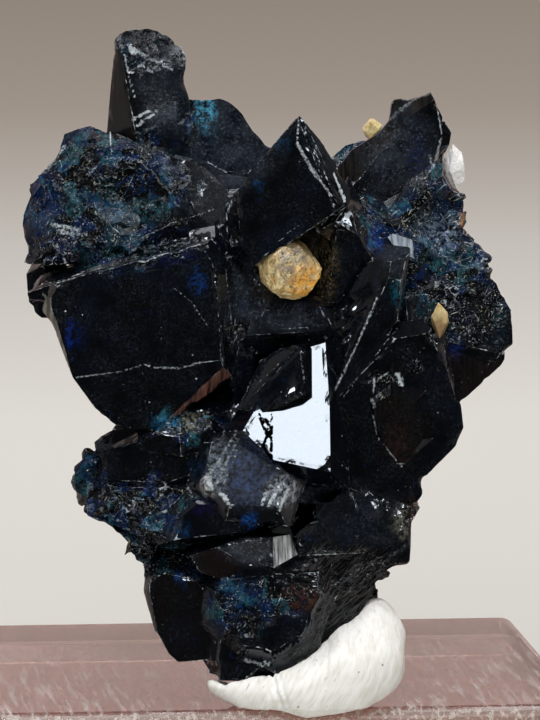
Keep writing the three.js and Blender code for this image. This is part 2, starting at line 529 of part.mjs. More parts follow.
// The siderite crystal in the hollow and the small grains on the cluster: middle, half sizes, number, faces.
const SIDERITE = [[2.2, 41.0, 6.6], [3.1, 3.1, 3.0], 5, 34];
const GRAINS = {
  siderite_grain_top: [[10.7, 55.4, -7.0], [0.8, 1.0, 0.8], 8, 12],
  siderite_grain_right: [[17.1, 35.8, 4.6], [0.8, 1.7, 0.8], 12, 12],
  quartz_grain: [[18.7, 51.4, -5.6], [1.0, 2.1, 1.3], 14, 14],
};

// A shallow broken hollow in the upper left boulder: middle, half sizes, number, faces.
const SCOOP = [[-14.2, 48.4, 6.2], [5.6, 4.6, 2.9], 19, 30];

// The same grain, a gap larger all round: the pocket that it sits in.
function pocketOf([middle, halves, seed, faces]) {
  const wider = halves.map((half) => half + GAP / GRID);
  return grain(middle, wider, seed, faces);
}

const grown = [
  ...Object.values(FRONT).map(crystal),
  ...REAR.map(rearCrystal),
  ...CORE.map(([middle, halves, seed]) => grain(middle, halves, seed, 26)),
  ...CRUMBS.flatMap(crumbsOf),
].reduce((whole, piece) => whole.add(piece));
const pockets = [grain(...SCOOP), ...[SIDERITE, ...Object.values(GRAINS)].map(pocketOf)];
const cut = pockets.reduce((whole, pocket) => whole.subtract(pocket), grown);

// The cluster is solid right through: of the surfaces left by the joins only the outer one is kept.
const shells = cut.decompose();
const cluster = shells.reduce((largest, shell) => (shell.volume() > largest.volume() ? shell : largest));

const specimen = new THREE.Group();
specimen.name = "specimen";
specimen.rotation.set(-radians(LEAN), 0, radians(VIEW_TURN), "ZYX");
specimen.position.copy(DRAWING_AT).applyAxisAngle(new THREE.Vector3(0, 0, 1), radians(VIEW_TURN));
specimen.updateMatrix();

function addTo(group, name, geometry, color, roughness) {
  const material = new THREE.MeshStandardMaterial({ color, roughness, metalness: 0, flatShading: true });
  const mesh = new THREE.Mesh(geometry, material);
  mesh.name = name;
  group.add(mesh);
  return mesh;
}

addTo(specimen, "lazulite_cluster", geometryOf(cluster), 0x0a1020, 0.12);
addTo(specimen, "siderite_crystal", geometryOf(grain(...SIDERITE)), 0xb58a4a, 0.45);
for (const [name, shape] of Object.entries(GRAINS)) {
  const color = name.startsWith("quartz") ? 0xe8e8e4 : 0xc09a60;
  addTo(specimen, name, geometryOf(grain(...shape)), color, 0.5);
}

// The putty: a soft lump pressed under the cluster's lower right side, the hull of a few balls.
// Each ball is its middle in grid squares right, up and out, and its radius.
const BALLS = [
  [-4.2, 0.2, 6.0, 1.6], [-2.6, -0.9, 6.8, 1.1], [0.0, -1.2, 7.2, 1.7], [3.8, -0.6, 7.4, 3.2],
  [7.2, 0.5, 6.8, 3.9], [9.6, 1.9, 5.6, 3.7], [10.4, 4.2, 4.0, 3.0], [10.4, 5.8, 3.0, 2.2],
  [0.0, 0.0, 1.5, 2.0], [7.0, 2.0, 0.5, 3.0],
];

// It rests on the base's top face and droops a little over the front edge.
function puttyGeometry() {
  const points = [];
  const room = new THREE.BoxGeometry(3 * BASE_WIDTH, BASE_WIDTH, BASE_THICKNESS);
  room.translate(0, -DROOP_GAP, BASE_THICKNESS / 2);
  const underneath = solidOf(room);
  for (const [right, up, out, radius] of BALLS) {
    const ball = new THREE.IcosahedronGeometry(radius * GRID, 2);
    ball.translate(right * GRID, -out * GRID, up * GRID);
    ball.applyMatrix4(specimen.matrix);
    const { position } = ball.attributes;
    for (let i = 0; i < position.count; i++) points.push(new THREE.Vector3().fromBufferAttribute(position, i));
  }
  const lump = solidOf(new ConvexGeometry(points));
  const stone = cluster.transform(specimen.matrix.toArray());
  const rested = lump.subtract(underneath);
  const nudges = [[0, 0, -1], [1, 0, 0], [-1, 0, 0], [0, 1, 0], [0, -1, 0]];
  return nudges.reduce(
    (shaped, nudge) => shaped.subtract(stone.translate(nudge.map((step) => step * GAP))),
    rested.subtract(stone),
  );
}

function baseGeometry() {
  const [side, corner] = [BASE_WIDTH / 2 - BASE_CHAMFER, BASE_CORNER];
  const outline = new THREE.Shape();
  outline.moveTo(-side + corner, -side);
  outline.lineTo(side - corner, -side);
  outline.absarc(side - corner, -side + corner, corner, -Math.PI / 2, 0);
  outline.lineTo(side, side - corner);
  outline.absarc(side - corner, side - corner, corner, 0, Math.PI / 2);
  outline.lineTo(-side + corner, side);
  outline.absarc(-side + corner, side - corner, corner, Math.PI / 2, Math.PI);
  outline.lineTo(-side, -side + corner);
  outline.absarc(-side + corner, -side + corner, corner, Math.PI, 1.5 * Math.PI);
  const block = new THREE.ExtrudeGeometry(outline, {
    depth: BASE_THICKNESS - 2 * BASE_CHAMFER,
    bevelSize: BASE_CHAMFER,
    bevelThickness: BASE_CHAMFER,
    bevelSegments: 1,
    curveSegments: 6,
  });
  return block.translate(0, 0, BASE_CHAMFER);
}

const part = new THREE.Group();
part.add(specimen);
addTo(part, "putty", geometryOf(puttyGeometry()), 0xe9e6df, 0.7);
addTo(part, "acrylic_base", baseGeometry(), 0xd9b8c0, 0.08);
export default part;
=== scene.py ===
# A lazulite specimen on its display base: a cluster of dark blue crystals with a siderite crystal
# in a hollow, a few loose-looking grains, a lump of putty and a clear acrylic block.
import math

import bpy
import numpy as np
from mathutils import Matrix, Vector, kdtree, noise


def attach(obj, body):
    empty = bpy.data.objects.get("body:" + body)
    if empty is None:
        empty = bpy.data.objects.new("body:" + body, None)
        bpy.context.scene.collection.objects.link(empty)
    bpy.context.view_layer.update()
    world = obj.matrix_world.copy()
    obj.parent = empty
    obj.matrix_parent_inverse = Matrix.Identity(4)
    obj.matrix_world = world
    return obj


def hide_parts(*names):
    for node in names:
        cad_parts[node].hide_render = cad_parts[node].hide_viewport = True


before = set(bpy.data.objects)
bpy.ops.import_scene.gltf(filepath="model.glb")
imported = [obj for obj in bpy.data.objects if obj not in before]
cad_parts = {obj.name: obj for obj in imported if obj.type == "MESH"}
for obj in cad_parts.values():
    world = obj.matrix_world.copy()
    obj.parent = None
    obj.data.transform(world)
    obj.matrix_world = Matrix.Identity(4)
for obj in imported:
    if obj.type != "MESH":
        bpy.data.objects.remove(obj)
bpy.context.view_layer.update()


# Acrylic base
# A square block sawn from clear cast acrylic sheet with a rose tint: the top is polished and rubbed with
# streaks from front to back, the sawn sides are pale and lightly frosted, and the edges are filed.
MM = 0.001
BASE_WIDTH = 38 * MM
BASE_THICKNESS = 10 * MM
BASE_CORNER = 1 * MM
BASE_CHAMFER = 0.3 * MM
RUB_WIDTH = 0.4 * MM
RUB_STRETCH = 0.06


def linear(hex_code):
    """An sRGB hex value as linear red, green, blue and an alpha of 1."""
    parts = [int(hex_code[i:i + 2], 16) / 255 for i in (0, 2, 4)]
    return [p / 12.92 if p <= 0.04045 else ((p + 0.055) / 1.055) ** 2.4 for p in parts] + [1]


def add(tree, kind, settings=None, **inputs):
    """Adds a node: settings are its own properties; an input is a value, or (node, output) to link from.
    An input's name has _ for a space, or is i and a number for its place in the list."""
    made = tree.nodes.new(kind)
    for name, value in (settings or {}).items():
        setattr(made, name, value)
    for name, value in inputs.items():
        numbered = name[0] == "i" and name[1:].isdigit()
        socket = made.inputs[int(name[1:]) if numbered else name.replace("_", " ")]
        if isinstance(value, tuple) and isinstance(value[0], bpy.types.Node):
            tree.links.new(value[0].outputs[value[1]], socket)
        else:
            socket.default_value = value
    return made


def new_material(name):
    """An empty material and its node tree."""
    made = bpy.data.materials.new(name)
    made.use_nodes = True
    made.node_tree.nodes.clear()
    return made, made.node_tree


def maths(kind, first, second, clamp=False, third=0.0):
    """A maths node of the material being made: an input is a number, or a node and an output."""
    return add(tree, "ShaderNodeMath", {"operation": kind, "use_clamp": clamp}, i0=first, i1=second, i2=third)


def blend(factor, first, second):
    """Mixes two colours: each is a node and an output, or a hex value."""
    first, second = (linear(c) if isinstance(c, str) else c for c in (first, second))
    return add(tree, "ShaderNodeMix", {"data_type": "RGBA"}, i0=factor, i6=first, i7=second)


def only(piece):
    """Leaves one piece selected and active."""
    bpy.ops.object.select_all(action="DESELECT")
    piece.select_set(True)
    bpy.context.view_layer.objects.active = piece


def applied(piece, kind, **settings):
    """Adds a modifier to a piece and applies it."""
    only(piece)
    made = piece.modifiers.new(kind.lower(), kind)
    for name, value in settings.items():
        setattr(made, name, value)
    bpy.ops.object.modifier_apply(modifier=made.name)


bpy.ops.object.select_all(action="DESELECT")
bpy.ops.mesh.primitive_cube_add(size=1, location=(0, 0, BASE_THICKNESS / 2))
base = bpy.context.object
base.name = "clear_base"
base.scale = (BASE_WIDTH, BASE_WIDTH, BASE_THICKNESS)
bpy.ops.object.transform_apply(location=True, rotation=True, scale=True)
bpy.ops.object.mode_set(mode="EDIT")
bpy.ops.mesh.select_all(action="DESELECT")
bpy.ops.object.mode_set(mode="OBJECT")
for edge in base.data.edges:
    low, high = (base.data.vertices[i].co for i in edge.vertices)
    edge.select = abs(low.z - high.z) > BASE_THICKNESS / 2
bpy.ops.object.mode_set(mode="EDIT")
bpy.ops.mesh.bevel(offset=BASE_CORNER, segments=8, affect="EDGES")
bpy.ops.object.mode_set(mode="OBJECT")
applied(base, "BEVEL", width=BASE_CHAMFER, segments=2, limit_method="ANGLE", angle_limit=math.radians(60))

acrylic, tree = new_material("cast acrylic")
place = add(tree, "ShaderNodeTexCoord")
where = add(tree, "ShaderNodeSeparateXYZ", Vector=(place, "Object"))
lengthwise = add(tree, "ShaderNodeMapping", Vector=(place, "Object"), Scale=(1, RUB_STRETCH, 1))
rubbing = add(tree, "ShaderNodeTexNoise", Vector=(lengthwise, 0), Scale=1 / RUB_WIDTH,
              Detail=4, Roughness=0.7)
rub_mask = add(tree, "ShaderNodeMapRange", Value=(rubbing, 0), From_Min=0.5, From_Max=0.68)
by_front = add(tree, "ShaderNodeMapRange", Value=(where, 1), To_Min=0.2,
               From_Min=BASE_WIDTH / 4, From_Max=-BASE_WIDTH / 2)
rubbed = maths("MULTIPLY", (rub_mask, 0), (by_front, 0))
facing = add(tree, "ShaderNodeSeparateXYZ", Vector=(place, "Normal"))
upright = maths("ABSOLUTE", (facing, 2), 0.0)
sawn = add(tree, "ShaderNodeMapRange", Value=(upright, 0), From_Min=0.98, From_Max=0.8)
haze = add(tree, "ShaderNodeMapRange", Value=(rubbed, 0), To_Min=0.04, To_Max=0.35)
haze = maths("MULTIPLY_ADD", (sawn, 0), 0.16, False, (haze, 0))
frost = maths("MULTIPLY", (rubbed, 0), 0.55)
frost = maths("MULTIPLY_ADD", (sawn, 0), 0.2, False, (frost, 0))
clear = maths("SUBTRACT", 1.0, (frost, 0), True)
pale = blend((sawn, 0), "ffffff", "e0dbd0")
relief = add(tree, "ShaderNodeBump", Height=(rub_mask, 0), Strength=0.15, Distance=0.02 * MM)
surface = add(tree, "ShaderNodeBsdfPrincipled", Base_Color=(pale, 2), Transmission_Weight=(clear, 0),
              IOR=1.49, Roughness=(haze, 0), Normal=(relief, 0))
inside = add(tree, "ShaderNodeVolumeAbsorption", Color=linear("e2b0a6"), Density=60)
add(tree, "ShaderNodeOutputMaterial", Surface=(surface, 0), Volume=(inside, 0))
base.data.materials.append(acrylic)
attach(base, "root")
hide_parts("acrylic_base")


# Putty
# A lump of white mounting putty, rolled and pressed by hand under the stone, so it keeps finger ridges,
# a fold and a few specks of dark dust.
PUTTY_VOXEL = 0.1 * MM
PUTTY_SWELL = 0.22 * MM
WRINKLE_WIDTH, WRINKLE_LENGTH = 0.28 * MM, 2.2 * MM
WRINKLE_HEIGHT = 0.045 * MM
DENT_DEPTH = 0.14 * MM
FOLD_DEPTH = 0.34 * MM
# The lip that was pressed down in front of the stone, in grid squares: along it, its height and its drop.
LIP_RIGHT = (-5.1, -2.8, 1.7, 3.2, 6.2, 7.3, 8.9, 10.2, 11.0)
LIP_UP = (0.0, -0.3, 0.8, 1.8, 4.0, 5.4, 6.3, 7.9, 8.3)
LIP_DROP = (0.3, 1.4, 1.9, 1.8, 2.1, 1.3, 0.8, 0.2, 0.0)
LIP_REACH = 3.0
# The photo was drawn over with a grid, 60 squares to the width of the base.
GRID = BASE_WIDTH / 60
VIEW_TURN = math.radians(-6)
LEAN = math.radians(8.3)
DRAWING_AT = Vector((0.5, -13.6, 11.09)) * MM
from_drawing = (Matrix.Rotation(VIEW_TURN, 4, "Z") @ Matrix.Translation(DRAWING_AT)
                @ Matrix.Rotation(-LEAN, 4, "X"))


def drawn(right, up, out):
    """A point of the drawing, in grid squares right, up and towards the viewer, as a place in metres."""
    return from_drawing @ (Vector((right, -out, up)) * GRID)


def drawing_of(points):
    """Places in metres as an array of grid squares right, up and out."""
    back = np.array(from_drawing.inverted())
    local = np.asarray(points) @ back[:3, :3].T + back[:3, 3]
    return np.stack([local[:, 0], local[:, 2], -local[:, 1]], axis=1) / GRID


def places_of(grid_points):
    """An array of grid squares right, up and out as places in metres."""
    local = grid_points[:, [0, 2, 1]] * (1, -1, 1) * GRID
    turn = np.array(from_drawing)
    return local @ turn[:3, :3].T + turn[:3, 3]


def copy_of(node, name):
    """A piece that starts from a CAD node's own mesh, with its loose triangles merged."""
    bpy.ops.object.select_all(action="DESELECT")
    piece = bpy.data.objects.new(name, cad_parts[node].data.copy())
    bpy.context.scene.collection.objects.link(piece)
    piece.data.materials.clear()
    only(piece)
    bpy.ops.object.mode_set(mode="EDIT")
    bpy.ops.mesh.select_all(action="SELECT")
    bpy.ops.mesh.remove_doubles(threshold=0.001 * MM)
    bpy.ops.object.mode_set(mode="OBJECT")
    return piece


def places(piece):
    flat = np.empty(len(piece.data.vertices) * 3)
    piece.data.vertices.foreach_get("co", flat)
    return flat.reshape(-1, 3)


def normals(piece):
    flat = np.empty(len(piece.data.vertices) * 3, np.float32)
    piece.data.vertex_normals.foreach_get("vector", flat)
    return flat.reshape(-1, 3).astype(float)


def move_to(piece, points):
    piece.data.vertices.foreach_set("co", np.ascontiguousarray(points, np.float32).ravel())
    piece.data.update()


def keep(piece, name, values, domain="POINT"):
    """Stores a number, or a colour, for each vertex or face under a name that the material reads."""
    values = np.ascontiguousarray(values, np.float32)
    colour = values.ndim == 2
    layer = piece.data.attributes.new(name, "FLOAT_COLOR" if colour else "FLOAT", domain)
    layer.data.foreach_set("color" if colour else "value", values.ravel())


def per_mm(size):
    """The scale of a pattern whose features are this many mm across."""
    return 1 / (size * MM)


def stored(name):
    return add(tree, "ShaderNodeAttribute", {"attribute_name": name})


putty = copy_of("putty", "putty_lump")
applied(putty, "REMESH", mode="VOXEL", voxel_size=PUTTY_VOXEL)
applied(putty, "SMOOTH", factor=0.5, iterations=30)
grid_spots = drawing_of(places(putty))
across, up, out = grid_spots.T
lip = np.interp(across, LIP_RIGHT, LIP_UP)
drop = np.interp(across, LIP_RIGHT, LIP_DROP) * np.clip((out - 1) / 2, 0, 1)
grid_spots[:, 1] -= drop * np.clip((up - lip + LIP_REACH) / (drop + LIP_REACH), 0, 1)
move_to(putty, places_of(grid_spots))
spots = places(putty)
across, up, out = drawing_of(spots).T
dents = np.array([noise.noise(Vector(p) / (2.6 * MM)) for p in spots])
wander = np.array([noise.noise(Vector(p) / (0.9 * MM) + Vector((3, 8, 1))) for p in spots])
# The wrinkles run in steep arcs; this is each spot's place across and along them, in mm.
arc = np.stack([across + 0.06 * (up - 4) ** 2 + 0.25 * wander, up, out], axis=1) * GRID / MM
stretch = np.array([WRINKLE_WIDTH, WRINKLE_LENGTH, WRINKLE_LENGTH]) / MM
wrinkles = np.array([noise.noise(Vector(p)) for p in arc / stretch])
swell = PUTTY_SWELL + dents * DENT_DEPTH + wrinkles * WRINKLE_HEIGHT
for fold_at, share in ((1.0, 1.0), (0.35, 0.45), (1.7, 0.35)):
    from_fold = across - fold_at + 0.33 * (up + 1.5) + 0.25 * wander
    swell -= np.exp(-(from_fold / 0.26) ** 2) * np.clip((1.2 - up) / 1.2, 0, 1) * share * FOLD_DEPTH
on_base = spots[:, 2] < BASE_THICKNESS + 0.25 * MM
swell[on_base] = 0
move_to(putty, spots + normals(putty) * swell[:, None])
keep(putty, "rub", np.column_stack([arc * (1, 0.16, 0.3), np.ones(len(arc))]))
only(putty)
bpy.ops.object.shade_smooth()

clay, tree = new_material("mounting putty")
place = add(tree, "ShaderNodeTexCoord")
rub = stored("rub")
creases = add(tree, "ShaderNodeTexNoise", Vector=(rub, "Vector"), Scale=1 / 0.22, Detail=4, Roughness=0.65)
crease_mask = add(tree, "ShaderNodeMapRange", Value=(creases, 0), From_Min=0.3, From_Max=0.55)
# Painted shade: the putty colour is a little darker along the crease pattern.
shade = blend((crease_mask, 0), "e6e4da", "fdfdfa")
dashes = add(tree, "ShaderNodeTexNoise", Vector=(rub, "Vector"), Scale=1 / 0.13, Detail=2)
dash_mask = add(tree, "ShaderNodeMapRange", Value=(dashes, 0), From_Min=0.7, From_Max=0.76)
dust = add(tree, "ShaderNodeTexVoronoi", Vector=(place, "Object"), Scale=per_mm(1.1))
dust_mask = add(tree, "ShaderNodeMapRange", Value=(dust, "Distance"), From_Min=0.05, From_Max=0.08,
                To_Min=1, To_Max=0)
dirt = maths("MAXIMUM", (dash_mask, 0), (dust_mask, 0))
dirt = maths("MULTIPLY", (dirt, 0), 0.75)
specked = blend((dirt, 0), (shade, 2), "6a675f")
relief = add(tree, "ShaderNodeBump", Height=(creases, 0), Strength=0.4, Distance=0.05 * MM)
surface = add(tree, "ShaderNodeBsdfPrincipled", Base_Color=(specked, 2), Roughness=0.7, IOR=1.45,
              Normal=(relief, 0))
add(tree, "ShaderNodeOutputMaterial", Surface=(surface, 0))
putty.data.materials.append(clay)
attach(putty, "root")
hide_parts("putty")


# Lazulite cluster
# Lazulite crystals grown together in one mass: glossy flat faces that look almost black, broken places
# where the blue and teal of the mineral shows, and edges bruised white.
FINE = 0.172 * MM
EDGE_STRIP = 0.24 * MM
BROKEN_FINE = 0.25 * MM
FACE_STEP = 1.0 * MM
SHARP_ANGLE = math.radians(14)
CHIP_DEPTH = 0.2 * MM
CHIP_WIDTH = 0.26 * MM
MOST_CUTS = 9
# What stands further back than this, in grid squares, isn't in the photo and isn't marked.
DRAWN_BACK = -10.5

# The broken places: grid squares right and up of the middle, half width and height, the least and most
# out, how deep the break is in mm, the size of its chips in mm, and how teal and how white it shows; the
# white is pale flecks, partly painted glints.
BROKEN = {
    "upper_left": (-16.5, 48.6, 8.8, 7.6, -3, 9, 0.28, 1.2, 0.6, 0.5),
    "left_band": (-15.6, 43.0, 8.6, 1.6, 1, 9, 0.26, 0.7, 0.5, 0.7),
    "tower_top": (-12.0, 63.4, 3.8, 1.8, -9, 2, 0.25, 0.7, 0.1, 0.3),
    "shoulder_patch": (-6.4, 56.8, 1.5, 2.2, -9, 0, 0.15, 0.5, 1.0, 0.3),
    "granular_slope": (-12.6, 17.0, 5.8, 3.2, 1, 8, 0.28, 0.55, 0.7, 0.45),
    "left_lumps": (-17.9, 20.0, 1.9, 3.4, 0, 7, 0.10, 0.7, 0.45, 0.2),
    "teal_crumble": (-8.3, 25.5, 3.2, 1.6, 3, 9, 0.22, 0.6, 1.0, 0.8),
    "right_middle": (17.5, 44.2, 6.2, 6.8, -5, 5, 0.12, 0.8, 0.7, 0.8),
    "right_black": (20.0, 37.2, 5.2, 3.2, -2, 6, 0.22, 0.8, 0.15, 0.9),
    "right_grain": (19.2, 30.0, 1.4, 2.6, -2, 6, 0.16, 0.6, 0.0, 0.4),
    "bottom_front": (-1.8, 7.8, 4.8, 3.4, 4, 11, 0.20, 0.7, 0.6, 0.5),
    "slab": (7.2, 7.4, 7.8, 6.4, 0, 8, 0.20, 0.6, 0.0, 0.3),
    "crushed": (12.1, 29.7, 1.8, 1.4, 2, 9, 0.22, 0.5, 0.0, 1.0),
    "crushed_knob": (13.9, 31.2, 0.6, 0.6, 2, 9, 0.12, 0.4, 0.1, 1.0),
    "wedge_patch": (-2.8, 34.9, 1.0, 1.0, 2, 9, 0.18, 0.5, 0.0, 1.0),
    "low_ledges": (-13.4, 12.8, 2.6, 2.4, -2, 7, 0.22, 0.6, 0.5, 0.5),
    "low_left_top": (-9.6, 11.6, 3.4, 1.6, 1, 8, 0.20, 0.6, 0.25, 0.4),
    "by_point": (10.0, 45.6, 2.2, 2.4, -1, 7, 0.20, 0.6, 0.7, 0.6),
    "behind_point": (8.8, 53.0, 3.0, 2.4, -14, -3, 0.22, 0.8, 0.4, 0.7),
    "point_tip": (2.6, 55.6, 0.9, 1.2, -4, 6, 0.10, 0.4, 0.1, 0.8),
}
# Places where the edges stayed clean: middle and half sizes.
CLEAN = [(3.2, 25.0, 4.4, 5.2), (-1.2, 24.9, 1.8, 2.2), (5.0, 31.0, 1.6, 3.4), (13.2, 25.6, 3.0, 4.0)]
# Crumbs that are worn to rounded lumps: middle and half sizes.
LUMPS = [(18.6, 44.2, 5.4, 6.0), (-18.0, 20.0, 2.4, 4.0)]
# The outline as worn and grown: a place in grid squares, its reach, and how far it stands right and up.
PUSHES = [
    (-9.4, 62.8, 2.8, 1.0, 0.3), (-14.6, 64.3, 1.8, -0.6, 0.4), (-12.0, 64.5, 3.0, 0.0, 0.5),
    (16.2, 59.6, 4.0, 0.5, -0.8),
    (18.6, 48.4, 2.4, 0.9, 0.0), (20.8, 44.8, 1.3, -1.1, 0.0), (20.3, 42.0, 2.6, 2.0, 0.0),
    (17.4, 24.2, 4.4, 1.7, 0.0),
    (14.2, 18.0, 2.2, 1.1, 0.0), (12.2, 10.0, 2.2, -0.7, 0.0), (-21.3, 52.4, 2.4, 0.7, 0.0),
    (-24.2, 43.1, 1.5, 0.5, 0.0),
    (-22.4, 36.4, 1.5, -0.7, 0.0), (-15.6, 24.0, 2.2, -1.3, 0.0), (-18.9, 20.0, 2.0, -0.8, 0.0),
    (-17.2, 16.5, 1.8, -0.9, 0.0),
    (-14.9, 13.8, 2.4, 0.7, 0.0), (-12.7, 10.5, 1.6, 0.5, 0.0), (-9.0, 2.6, 2.8, -0.6, -0.5),
    (-6.0, 0.8, 1.3, 1.0, 0.0),
    (-3.5, 57.3, 3.0, 0.3, 0.6), (12.9, 58.4, 1.6, -0.3, 0.3), (10.4, 55.6, 3.2, 1.1, -0.2),
    (2.0, 1.8, 2.8, 0.2, -1.1), (5.2, 3.8, 2.8, 0.5, -1.1), (8.2, 6.0, 2.6, 0.4, -0.9),
]
# Dulled places, with a bloom of fine scuffs: middle, half sizes, and strength.
DULL = {
    "slope": (-3.6, 54.0, 4.6, 4.6, 0.4),
    "boulder_right": (-8.6, 48.6, 4.4, 3.0, 0.25),
    "tower": (-10.8, 60.0, 2.6, 3.0, 0.25),
    "point_face": (13.4, 52.2, 3.6, 4.6, 0.48),
    "plate": (-1.8, 20.6, 4.0, 3.4, 0.3),
    "shelf": (2.6, 36.0, 3.0, 1.4, 0.4),
    "tower_low": (-10.6, 57.0, 2.0, 2.2, 0.4),
    "step": (-1.4, 12.9, 3.2, 1.4, 0.35),
    "middle": (17.0, 43.0, 5.0, 5.0, 0.4),
    "wedge": (-2.0, 38.0, 2.6, 3.2, 0.35),
    "lower_right": (8.0, 16.0, 6.0, 3.0, 0.1),
}
# Single faces painted in one tone: the grey, pale and brown tones are painted reflections of the room, and
# the near-black ones lie on faces made matte; a point on the face, its colour, how much it covers, its
# roughness.
FACES = {
    "grey_triangle": (13.3, 44.1, "a9b5c2", 0.9, 0.25),
    "striated": (1.5, 13.1, "d6dadb", 0.95, 0.3),
    "tower_side": (-14.9, 57.8, "1c1611", 0.7, 0.12),
    "point_side": (11.0, 54.4, "24211d", 0.95, 0.6),
    "brown_facet": (-5.9, 29.1, "6b4a40", 0.9, 0.1),
    "brown_low": (-5.2, 11.7, "120604", 0.9, 0.1),
    "brown_face": (12.7, 25.4, "140e0a", 0.9, 0.12),
    "right_brown": (21.5, 30.5, "1d1412", 0.9, 0.2),
    "low_left": (-8.8, 6.6, "0d0908", 0.9, 0.1),
    "ridge_end": (12.5, 42.5, "0a0d13", 1.0, 0.6),
    "shelf": (2.4, 36.6, "0a0c11", 0.9, 0.6),
    "slit": (-4.6, 51.4, "0a0c12", 0.9, 0.6),
    "slit_right": (-2.6, 50.8, "0a0c12", 0.9, 0.6),
    "slit_low": (-3.4, 50.1, "0a0c12", 0.9, 0.6),
    "recess_top": (14.3, 28.5, "0d0c0c", 0.9, 0.6),
    "recess_right": (15.2, 26.0, "0f0d0c", 0.9, 0.6),
    "top_facet": (14.9, 34.7, "0c0e12", 0.9, 0.6),
    "ridge_strip": (9.5, 32.1, "0a0c11", 0.9, 0.6),
    "low_strip": (7.0, 20.6, "0b0d11", 0.9, 0.6),
    "big_side": (-22.0, 37.6, "7d7d6c", 0.85, 0.3),
}
# Spots where light comes back out of the mineral, where a stain lies on it, or where shade in a hollow or
# light on a shadowed wall is painted: middle, half sizes, colour, strength.
TINTS = {
    "boulder_left": (-22.6, 47.5, 1.8, 4.0, "0b2c5c", 0.9),
    "boulder_arc": (-14.4, 51.8, 2.0, 0.6, "163f8a", 0.9),
    "boulder_middle": (-13.4, 46.9, 3.2, 1.3, "2f6a7a", 0.6),
    # Painted shade: the hollow in the boulder is painted near black.
    "boulder_hollow": (-14.4, 50.0, 3.2, 1.8, "020304", 2.4),
    "boulder_low": (-20.0, 43.6, 1.2, 1.0, "0a1a58", 0.8),
    "shoulder": (-6.3, 57.0, 1.0, 1.7, "58acd0", 1.0),
    "plate_rim": (-5.9, 19.6, 0.7, 1.2, "dfe4e8", 1.0),
    "plate_left": (-4.9, 21.0, 1.1, 2.6, "8f9bab", 0.8),
    "plate_middle": (-2.0, 20.6, 2.4, 3.0, "3f5078", 0.8),
    "plate_right": (1.2, 18.8, 1.6, 1.4, "b0b9c4", 0.9),
    "orange_crumb": (19.7, 45.8, 0.7, 1.1, "c07a3c", 1.0),
    "right_pale": (17.0, 44.8, 2.2, 2.0, "7f95ac", 0.9),
    "right_teal": (19.2, 41.6, 1.8, 0.9, "3f7480", 0.8),
    "right_blue_side": (17.2, 47.8, 0.7, 2.2, "1a4468", 0.8),
    "front_brown": (3.3, 8.3, 1.6, 1.2, "4a2c22", 1.0),
    # Painted shade: the hole and the hollow at the front are painted near black.
    "front_hole": (-1.2, 9.8, 1.8, 0.9, "020203", 1.0),
    "front_hollow": (-1.6, 5.7, 1.8, 1.0, "020203", 1.0),
    "crumble_teal": (-10.0, 25.6, 1.4, 0.8, "1d6a92", 1.0),
    "crumble_tan": (-7.4, 25.6, 1.2, 0.9, "9a9c86", 0.8),
    "big_right": (-6.9, 39.6, 0.8, 1.2, "123f84", 0.8),
    "big_low": (-19.6, 34.4, 0.5, 1.3, "14308c", 0.8),
    "big_top": (-9.4, 42.0, 2.2, 0.9, "0c1646", 0.7),
    "tip_blue": (1.2, 53.3, 0.9, 0.8, "10385a", 0.9),
    "point_left": (-1.0, 49.3, 0.5, 0.7, "164a80", 0.7),
    "right_point": (14.9, 52.4, 1.1, 1.9, "141f58", 0.6),
    "blue_pocket": (10.8, 43.9, 0.8, 1.1, "1048a0", 1.0),
    "teal_pocket": (12.9, 38.5, 0.7, 1.3, "145a6e", 1.0),
    "right_blue": (18.8, 33.0, 0.8, 0.9, "10286a", 0.8),
    "blue_spot": (-1.8, 15.8, 0.7, 0.7, "0f62c8", 1.0),
    "violet": (-6.3, 17.3, 1.4, 0.9, "140c3a", 0.9),
    "recess_red": (12.9, 23.4, 1.4, 2.2, "3a221c", 0.45),
    "chip_face": (13.4, 16.0, 0.8, 1.6, "7c7b70", 1.0),
    "chip_rim": (14.2, 16.6, 0.5, 1.6, "4a3026", 0.9),
    "low_blue": (-6.6, 21.0, 1.3, 1.1, "0b2a4c", 0.7),
    "front_blue": (-2.9, 7.9, 1.5, 1.4, "0d3a6a", 0.8),
    "left_blue": (-8.8, 10.2, 0.6, 0.6, "124a90", 0.8),
    "lump_blue": (-17.8, 21.6, 0.7, 0.9, "0e4a70", 0.8),
    "slope_blue": (-8.9, 14.9, 1.2, 0.8, "11406e", 0.7),
    # Painted light: the brown wall of the hollow is painted lighter where it lies in shadow; the floor of the
    # hollow is darker brown.
    "hollow": (5.4, 41.4, 1.4, 3.2, "6b5c40", 0.9),
    "hollow_floor": (0.6, 38.6, 2.6, 0.8, "2a1d0e", 0.7),
}
